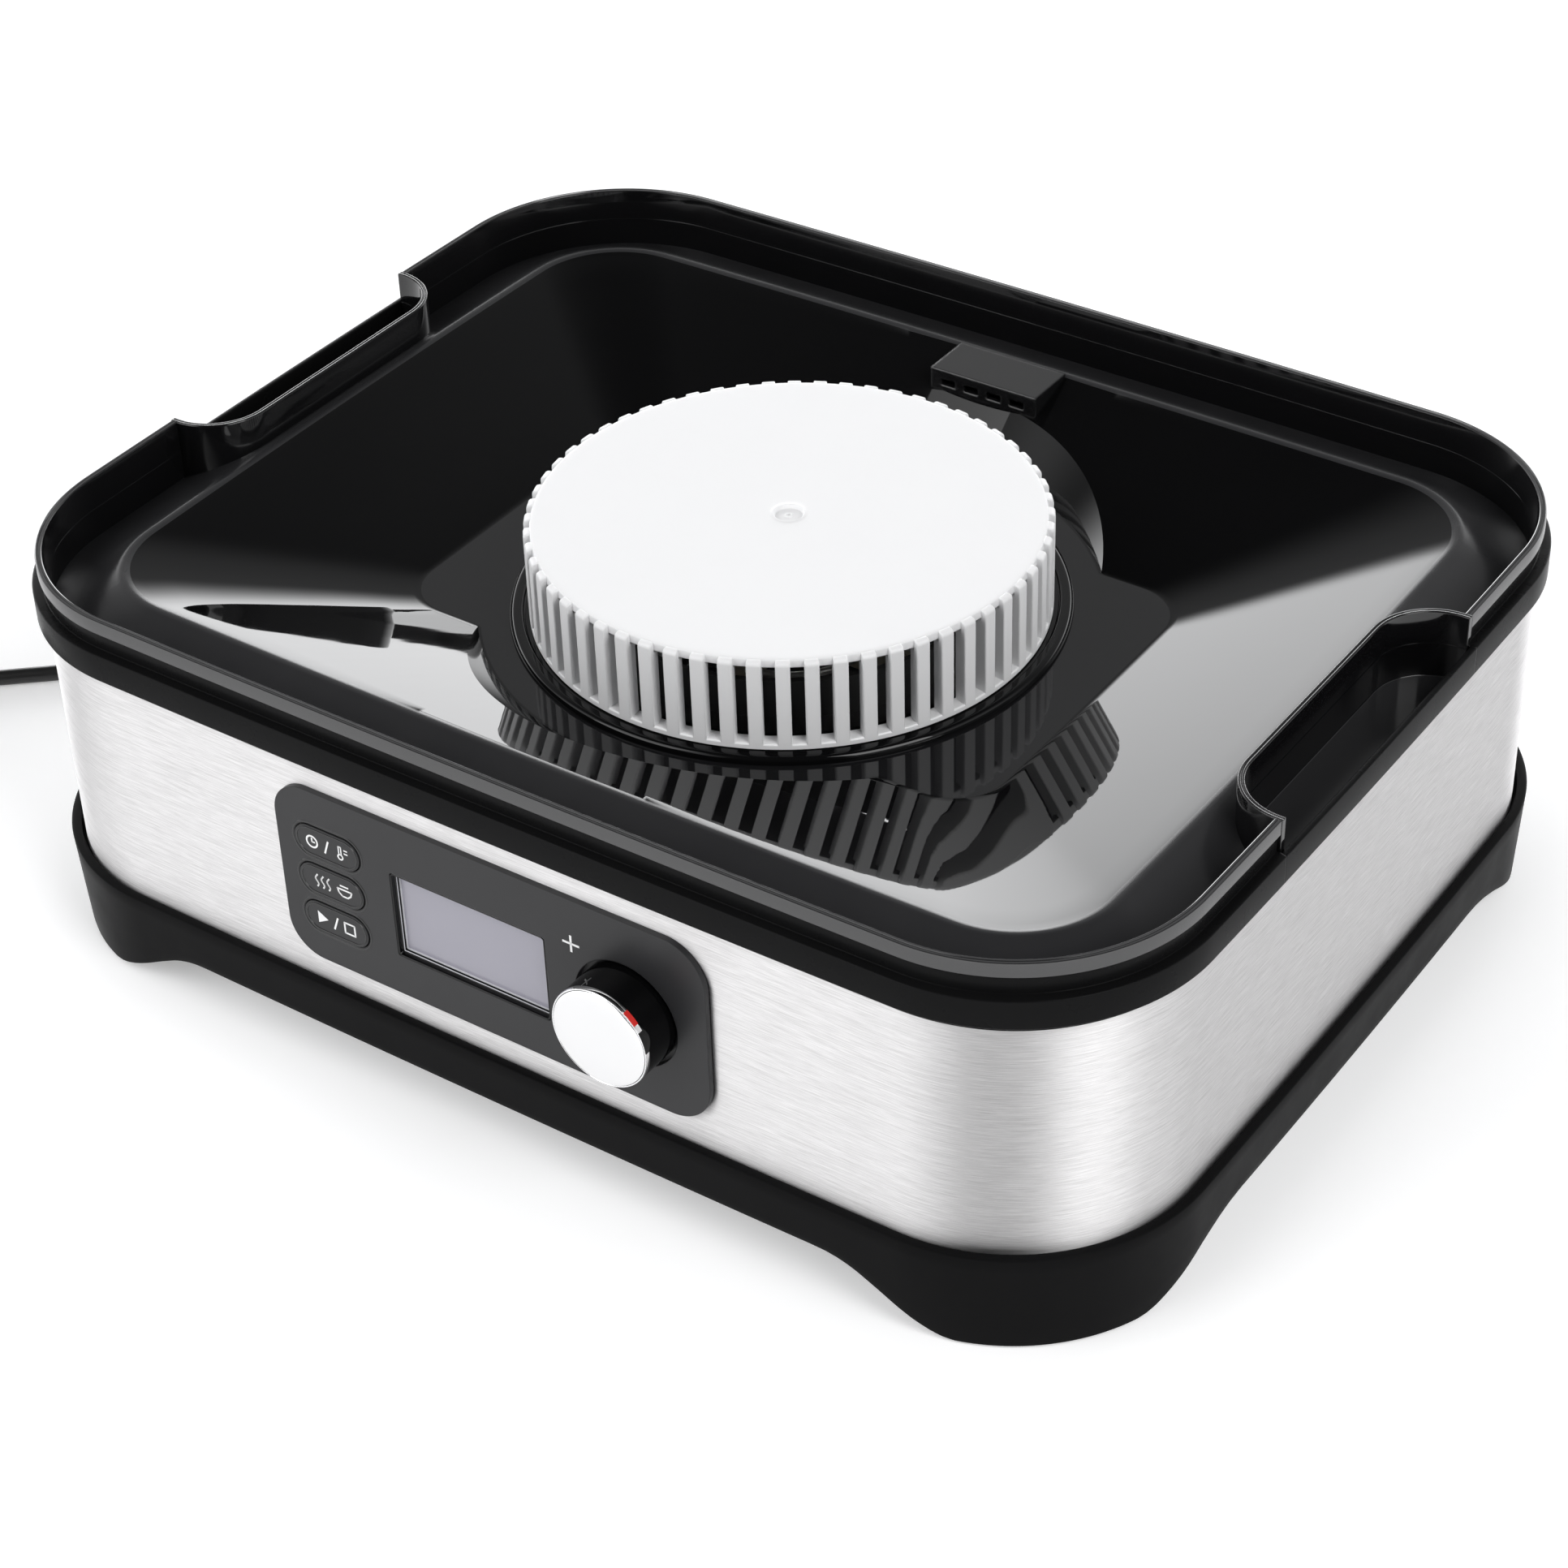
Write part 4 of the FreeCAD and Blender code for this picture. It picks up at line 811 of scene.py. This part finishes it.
def stroke(points, w):
    out_ = []
    for (x0, z0), (x1, z1) in zip(points, points[1:]):
        dx, dz = x1 - x0, z1 - z0
        L_ = math.hypot(dx, dz)
        nx, nz = -dz / L_ * w / 2, dx / L_ * w / 2
        ex, ez = dx / L_ * w * 0.2, dz / L_ * w * 0.2
        out_.append([(x0 - ex + nx, z0 - ez + nz), (x0 - ex - nx, z0 - ez - nz), (x1 + ex - nx, z1 + ez - nz), (x1 + ex + nx, z1 + ez + nz)])
    return out_


BX, BZ, BP = -55.4, 88.4, 14.15
W = 0.62
y_btn = 158.75 + 0.3
# clock, slash, thermometer
l1 = ring_loops(BX - 5.6, BZ, 2.3, 0.6) + stroke([(BX - 5.6, BZ + 1.3), (BX - 5.6, BZ), (BX - 4.6, BZ)], 0.55)
l1 += stroke([(BX - 0.9, BZ - 2.3), (BX + 0.7, BZ + 2.3)], W)
l1 += ring_loops(BX + 5.0, BZ - 1.4, 1.15, 0.5, 18) + stroke([(BX + 4.55, BZ - 0.4), (BX + 4.55, BZ + 2.3), (BX + 5.45, BZ + 2.3), (BX + 5.45, BZ - 0.4)], 0.42)
l1 += stroke([(BX + 6.6, BZ + 1.6), (BX + 7.8, BZ + 1.6)], 0.45) + stroke([(BX + 6.6, BZ + 0.4), (BX + 7.8, BZ + 0.4)], 0.45)
z2 = BZ - BP
l2 = []
for q in (-5.6, -3.4, -1.2):
    l2 += stroke([(BX + q + 0.5 * math.sin(i * 0.9), z2 - 2.2 + 0.55 * i) for i in range(9)], 0.55)
l2 += stroke([(BX + 2.2, z2 + 0.4), (BX + 2.7, z2 - 1.1), (BX + 3.9, z2 - 2.1), (BX + 5.9, z2 - 2.1), (BX + 7.1, z2 - 1.1), (BX + 7.6, z2 + 0.4), (BX + 2.2, z2 + 0.4)], 0.55)
l2 += stroke([(BX + 3.4, z2 + 1.7), (BX + 6.4, z2 + 1.7)], 0.5)
z3 = BZ - 2 * BP
l3 = [[(BX - 7.0, z3 - 2.2), (BX - 3.2, z3), (BX - 7.0, z3 + 2.2)]] + stroke([(BX - 1.0, z3 - 2.3), (BX + 0.7, z3 + 2.3)], W)
l3 += stroke([(BX + 3.2, z3 - 1.9), (BX + 3.2, z3 + 1.9), (BX + 7.0, z3 + 1.9), (BX + 7.0, z3 - 1.9), (BX + 3.2, z3 - 1.9)], 0.6)
for nm, lp, body_ in (("start", l1, "start_button"), ("mode", l2, "mode_button"), ("power", l3, "power_button")):
    patch(nm + "_mark", lp, y_btn, 0.05, [M["ink"]], body_)
patch("plus_mark", stroke([(33.4 - 2.8, 90.9), (33.4 + 2.8, 90.9)], 0.75) + stroke([(33.4, 90.9 - 2.8), (33.4, 90.9 - 0.36)], 0.75) + stroke([(33.4, 90.9 + 0.36), (33.4, 90.9 + 2.8)], 0.75),
      158.75, 0.05, [M["ink"]], "housing")


def slot_bead(name, cx, cz, w, h, y, prof, mats, body, idx=None):
    path = []
    r = h / 2
    a_ = w / 2 - r
    for sx, t0 in ((1, -90), (-1, 90)):
        for i in range(17):
            t_ = math.radians(t0 + 180 * i / 16)
            path.append((cx + sx * a_ + r * math.cos(t_), cz + r * math.sin(t_), math.cos(t_), math.sin(t_)))
    verts, faces, mi = [], [], []
    k = len(prof)
    for px, pz, nx, nz in path:
        for o_, d in prof:
            verts.append((px - nx * o_, -(y + d), pz - nz * o_))
    n_ = len(path)
    for j in range(n_):
        j2 = (j + 1) % n_
        for i in range(k):
            i2 = (i + 1) % k
            faces.append((j * k + i, j2 * k + i, j2 * k + i2, j * k + i2))
            mi.append(idx[i] if idx else 0)
    ob = add_mesh(name, verts, faces, mats, True, mi, body)
    recalc(ob)
    sharp(ob, 40)
    return ob


for i, nm in enumerate(("start", "mode", "power")):
    zc = BZ - BP * i
    slot_bead(nm + "_bead", BX, zc, 24.2, 11.0, y_btn, [(0.55, -0.05), (0.62, 0.10), (0.80, 0.14), (0.98, 0.10), (1.05, -0.05)], [M["gloss2"]], nm + "_button")
    # Painted shade: a near-black ring on the panel round each button stands in for the shade in the gap between button
    # and panel.
    slot_bead(nm + "_painted_gap_shade_ring", BX, zc, 24.2, 11.0, 158.75, [(-1.35, -0.05), (-1.25, 0.07), (-0.95, 0.12), (-0.62, 0.07), (-0.52, -0.05)], [M["gloss2"]], "housing")


def rect_ring(name, x0, x1, z0, z1, prof, mats, idx=None, r=1.0, deg=30):
    """prof: (inset, front distance) list, swept round a rounded rectangle."""
    path = []
    for cx, cz, a0 in ((x1, z1, 0), (x0, z1, 90), (x0, z0, 180), (x1, z0, 270)):
        sx = -1 if cx == x1 else 1
        sz = -1 if cz == z1 else 1
        for i in range(7):
            a_ = math.radians(a0 + 15 * i)
            path.append((cx + sx * r, cz + sz * r, math.cos(a_), math.sin(a_)))
    verts, faces, mi = [], [], []
    k = len(prof)
    for px, pz, nx, nz in path:
        for ins, d in prof:
            rr_ = r - ins
            verts.append((px + nx * rr_, -d, pz + nz * rr_))
    n_ = len(path)
    for j in range(n_):
        j2 = (j + 1) % n_
        for i in range(k):
            i2 = (i + 1) % k
            faces.append((j * k + i, j2 * k + i, j2 * k + i2, j * k + i2))
            mi.append(idx[i] if idx else 0)
    ob = add_mesh(name, verts, faces, mats, True, mi, "housing")
    recalc(ob)
    sharp(ob, deg)
    return ob


# Painted highlight: the light grey ledge in the bezel and the thin border round the glass stand in for the recess
# walls catching light.
M["lcd_edge"] = surface("lcd_painted_highlight_grey", (0.55, 0.55, 0.58), (0.62, 0.62, 0.66), 0.2, 0.3, grain=1200, bump=0.02)
rect_ring("lcd_bezel", -32.25, 23.75, 58.25, 88.65,
          [(0.0, 156.3), (0.0, 158.55), (0.15, 158.72), (0.45, 158.72), (0.6, 158.5), (0.7, 157.6), (1.3, 157.45), (1.42, 157.2), (1.5, 156.3)],
          [M["gloss"], M["lcd_edge"]], idx=[0, 0, 0, 0, 0, 0, 1, 0, 0], r=1.4)
rect_ring("lcd_border", -30.8, 22.3, 59.7, 87.2, [(0.0, 156.28), (0.0, 156.55), (0.5, 156.55), (0.5, 156.28)], [M["lcd_edge"]], r=0.6)

# ------------------------------------------------------- mains plug and relief
g_y0 = 160.4
rel = lathe("lead_relief_body", [(3.0, 0.0), (6.1, 0.0), (6.5, 0.5), (6.5, 1.8), (6.0, 2.3), (5.6, 2.5), (5.55, 5.0), (5.0, 5.4), (5.4, 5.9), (5.3, 8.2), (4.8, 8.6), (5.1, 9.1), (5.0, 11.6),
                                 (4.5, 12.0), (4.8, 12.5), (4.65, 15.0), (4.2, 15.4), (4.5, 15.9), (4.35, 18.4), (3.95, 18.8), (4.2, 19.3), (4.1, 22.0), (3.75, 22.4), (3.95, 22.9), (3.8, 30.8),
                                 (3.4, 31.5), (2.9, 31.6), (2.8, 30.0)], [M["lead"]], n=48, axis="Z", centre=(0, 0, 0))
me = rel.data
for v in me.vertices:
    x, y, z = v.co.x / MM, v.co.y / MM - SHIFT, v.co.z / MM
    v.co = ((-120 + x) * MM, (g_y0 + z + SHIFT) * MM, (25.5 + y) * MM)
bm = bmesh.new(); bm.from_mesh(me); bmesh.ops.recalc_face_normals(bm, faces=bm.faces); bm.to_mesh(me); bm.free()
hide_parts("cord_gland")

# plug: a lofted two-pin body
ang = math.atan2(tdir[1], tdir[0])
secs = [(0, 3.3, 3.3), (2, 3.5, 3.5), (4, 3.35, 3.35), (6, 3.7, 3.7), (8, 3.5, 3.5), (10, 4.0, 4.0), (12, 4.6, 4.4), (14, 7.5, 5.4), (17, 12.5, 6.2), (21, 16.0, 6.6), (25, 16.8, 6.7), (30, 17.0, 6.7),
        (34.5, 16.8, 6.6), (35.3, 16.2, 6.2), (35.4, 12.0, 4.0), (35.4, 0.5, 0.5)]
verts, faces = [], []
NS = 40
for s_, w_, h_ in secs:
    for i in range(NS):
        a_ = 2 * math.pi * i / NS
        e_ = 1.0 if w_ < 5 else 0.55
        cx_, sx_ = math.cos(a_), math.sin(a_)
        lx = w_ * math.copysign(abs(cx_) ** e_, cx_)
        lz = h_ * math.copysign(abs(sx_) ** (e_ if w_ < 5 else 0.7), sx_)
        verts.append((PLUG0[0] + s_ * math.cos(ang) - lx * math.sin(ang), PLUG0[1] - SHIFT + s_ * math.sin(ang) + lx * math.cos(ang), 7.2 + lz))
for j in range(len(secs) - 1):
    for i in range(NS):
        i2 = (i + 1) % NS
        faces.append((j * NS + i, j * NS + i2, (j + 1) * NS + i2, (j + 1) * NS + i))
faces.append(tuple(range(NS)))
faces.append(tuple((len(secs) - 1) * NS + i for i in reversed(range(NS))))
plug_o = add_mesh("plug_moulding", verts, faces, [M["lead"]], True, None, "housing")
recalc(plug_o); sharp(plug_o, 40)
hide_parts("power_plug")
for sgn in (-1, 1):
    pr = [(0.01, 35.3), (2.05, 35.3), (2.05, 45.0), (2.0, 45.2), (2.0, 51.8), (1.7, 52.9), (1.0, 53.45), (0.01, 53.5)]
    o = lathe("plug_pin_%d" % (0 if sgn < 0 else 1), pr, [M["brass"], M["lead"]], n=32, idx=[1, 1, 1, 0, 0, 0, 0, 0], closed=False)
    for v in o.data.vertices:
        x, y, s_ = v.co.x / MM, v.co.y / MM - SHIFT, v.co.z / MM
        lx = 9.5 * sgn + x
        v.co = ((PLUG0[0] + s_ * math.cos(ang) - lx * math.sin(ang)) * MM, (PLUG0[1] + s_ * math.sin(ang) + lx * math.cos(ang)) * MM, (7.2 + y) * MM)
    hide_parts("plug_pins")

# ------------------------------------------------- materials on the CAD pieces
NODE_MAT = {
    "sensor_housing": "housing", "bottom_screws": "zinc", "intake_grille": "base", "outlet_guard": "guard", "control_panel": "panel",
    "lcd_window": "lcd", "lcd_module": "lcd", "start_button": "button", "mode_button": "button", "power_button": "button",
    "start_switch": "switch", "mode_switch": "switch", "power_switch": "switch", "encoder_shaft": "zinc", "encoder": "switch",
    "control_board": "board", "board_chips": "chip", "power_board": "board", "transformer": "iron", "relay": "chip", "capacitor": "chip",
    "terminal_block": "switch", "fan_motor": "motor", "motor_bracket": "zinc", "motor_shaft": "zinc", "fan_duct": "zinc", "fan_impeller": "impeller",
    "heater_frame": "mica", "heater_coil": "zinc", "thermal_fuse": "zinc", "temperature_sensor": "zinc",
}
for node, mk in NODE_MAT.items():
    o = bpy.data.objects.get(node)
    if o is None:
        continue
    for sl in o.material_slots:
        sl.material = M[mk]

# ------------------------------------------------------------- floor and light
def stage_floor():
    bm = bmesh.new()
    n_ = 24
    for i in range(n_ + 1):
        for j in range(n_ + 1):
            bm.verts.new((-30 + 60 * i / n_, -30 + 60 * j / n_, 0))
    bm.verts.ensure_lookup_table()
    for i in range(n_):
        for j in range(n_):
            q = i * (n_ + 1) + j
            bm.faces.new([bm.verts[q], bm.verts[q + n_ + 1], bm.verts[q + n_ + 2], bm.verts[q + 1]])
    me = bpy.data.meshes.new("floor")
    bm.to_mesh(me); bm.free()
    ob = bpy.data.objects.new("floor", me)
    coll.objects.link(ob)
    mt, nt, b = new_mat("pale_floor")
    v = noise(nt, 3.0, 3.0)
    nt.links.new(mixcol(nt, v, (0.86, 0.86, 0.865), (0.88, 0.88, 0.885)), b.inputs["Base Color"])
    b.inputs["Roughness"].default_value = 0.75
    b.inputs["Specular IOR Level"].default_value = 0.2
    b.inputs["Emission Color"].default_value = (1, 1, 1, 1)
    tcf = nt.nodes.new("ShaderNodeTexCoord")
    ln = nt.nodes.new("ShaderNodeVectorMath")
    ln.operation = "LENGTH"
    nt.links.new(tcf.outputs["Object"], ln.inputs[0])
    mr = nt.nodes.new("ShaderNodeMapRange")
    mr.interpolation_type = "SMOOTHSTEP"
    mr.inputs["From Min"].default_value = 0.35
    mr.inputs["From Max"].default_value = 1.5
    mr.inputs["To Min"].default_value = 0.33
    mr.inputs["To Max"].default_value = 0.62
    nt.links.new(ln.outputs["Value"], mr.inputs["Value"])
    nt.links.new(mr.outputs[0], b.inputs["Emission Strength"])
    ob.data.materials.append(mt)
    ob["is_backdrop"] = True
    return ob


stage_floor()
scene.view_settings.view_transform = "Standard"
world = bpy.data.worlds.new("studio")
scene.world = world
world.use_nodes = True
nt = world.node_tree
nt.nodes.clear()
out_n = nt.nodes.new("ShaderNodeOutputWorld")
bg = nt.nodes.new("ShaderNodeBackground")
nt.links.new(bg.outputs[0], out_n.inputs[0])
tc = nt.nodes.new("ShaderNodeTexCoord")
sep = nt.nodes.new("ShaderNodeSeparateXYZ")
nt.links.new(tc.outputs["Generated"], sep.inputs[0])


def mth(op, a=None, b=None, c=None):
    n_ = nt.nodes.new("ShaderNodeMath")
    n_.operation = op
    for i, v in enumerate((a, b, c)):
        if v is None:
            continue
        if isinstance(v, (int, float)):
            n_.inputs[i].default_value = v
        else:
            nt.links.new(v, n_.inputs[i])
    return n_.outputs[0]


def smooth(v, e0, e1):
    r = nt.nodes.new("ShaderNodeMapRange")
    r.interpolation_type = "SMOOTHSTEP"
    r.inputs["From Min"].default_value = e0
    r.inputs["From Max"].default_value = e1
    nt.links.new(v, r.inputs["Value"])
    return r.outputs[0]


X_, Y_, Z_ = sep.outputs["X"], sep.outputs["Y"], sep.outputs["Z"]
bl = mth("ADD", mth("MULTIPLY", X_, -0.60), mth("MULTIPLY", Y_, 0.80))
low = mth("SUBTRACT", 1.0, smooth(Z_, 0.22, 0.46))
wall_l = mth("MULTIPLY", smooth(bl, 0.25, 0.75), low)
azim = mth("ARCTAN2", Y_, X_)
front_l = mth("MULTIPLY", mth("MULTIPLY", smooth(azim, -3.05, -2.6), mth("SUBTRACT", 1.0, smooth(azim, -1.66, -1.40))), mth("SUBTRACT", 1.0, smooth(Z_, 0.55, 0.85)))
front_r = mth("MULTIPLY", mth("MULTIPLY", smooth(azim, -0.66, -0.50), mth("SUBTRACT", 1.0, smooth(azim, 0.35, 1.15))), mth("SUBTRACT", 1.0, smooth(Z_, 0.55, 0.85)))
over = mth("MULTIPLY", smooth(bl, 0.1, 0.6), mth("SUBTRACT", 1.0, smooth(Z_, 0.58, 0.86)))
total = mth("ADD", mth("MULTIPLY", wall_l, 5.0), 0.05)
total = mth("ADD", total, mth("MULTIPLY", over, 0.42))
total = mth("ADD", total, mth("MULTIPLY", front_l, 1.45))
total = mth("ADD", total, mth("MULTIPLY", front_r, 0.9))
lp_ = nt.nodes.new("ShaderNodeLightPath")
seen = mth("ADD", mth("MULTIPLY", total, mth("SUBTRACT", 1.0, lp_.outputs["Is Camera Ray"])), lp_.outputs["Is Camera Ray"])
nt.links.new(seen, bg.inputs["Strength"])
bg.inputs["Color"].default_value = (0.985, 0.99, 1.0, 1)


def area(name, loc, target, size, energy):
    ld = bpy.data.lights.new(name, "AREA")
    ld.shape = "RECTANGLE"
    ld.size, ld.size_y = size
    ld.energy = energy
    ob = bpy.data.objects.new(name, ld)
    coll.objects.link(ob)
    ob.location = loc
    ob.rotation_mode = "QUATERNION"
    ob.rotation_quaternion = (Vector(target) - Vector(loc)).to_track_quat("-Z", "Y")
    return ob


area("key", (1.75, -0.52, 1.75), (0, 0, 0.08), (1.25, 1.25), 29)
area("fill", (-0.9, -1.5, 1.5), (0, 0, 0.06), (1.3, 1.3), 13)

lo1, hi1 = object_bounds()
SIZES["end_lo"], SIZES["end_hi"] = [float(v) for v in lo1], [float(v) for v in hi1]
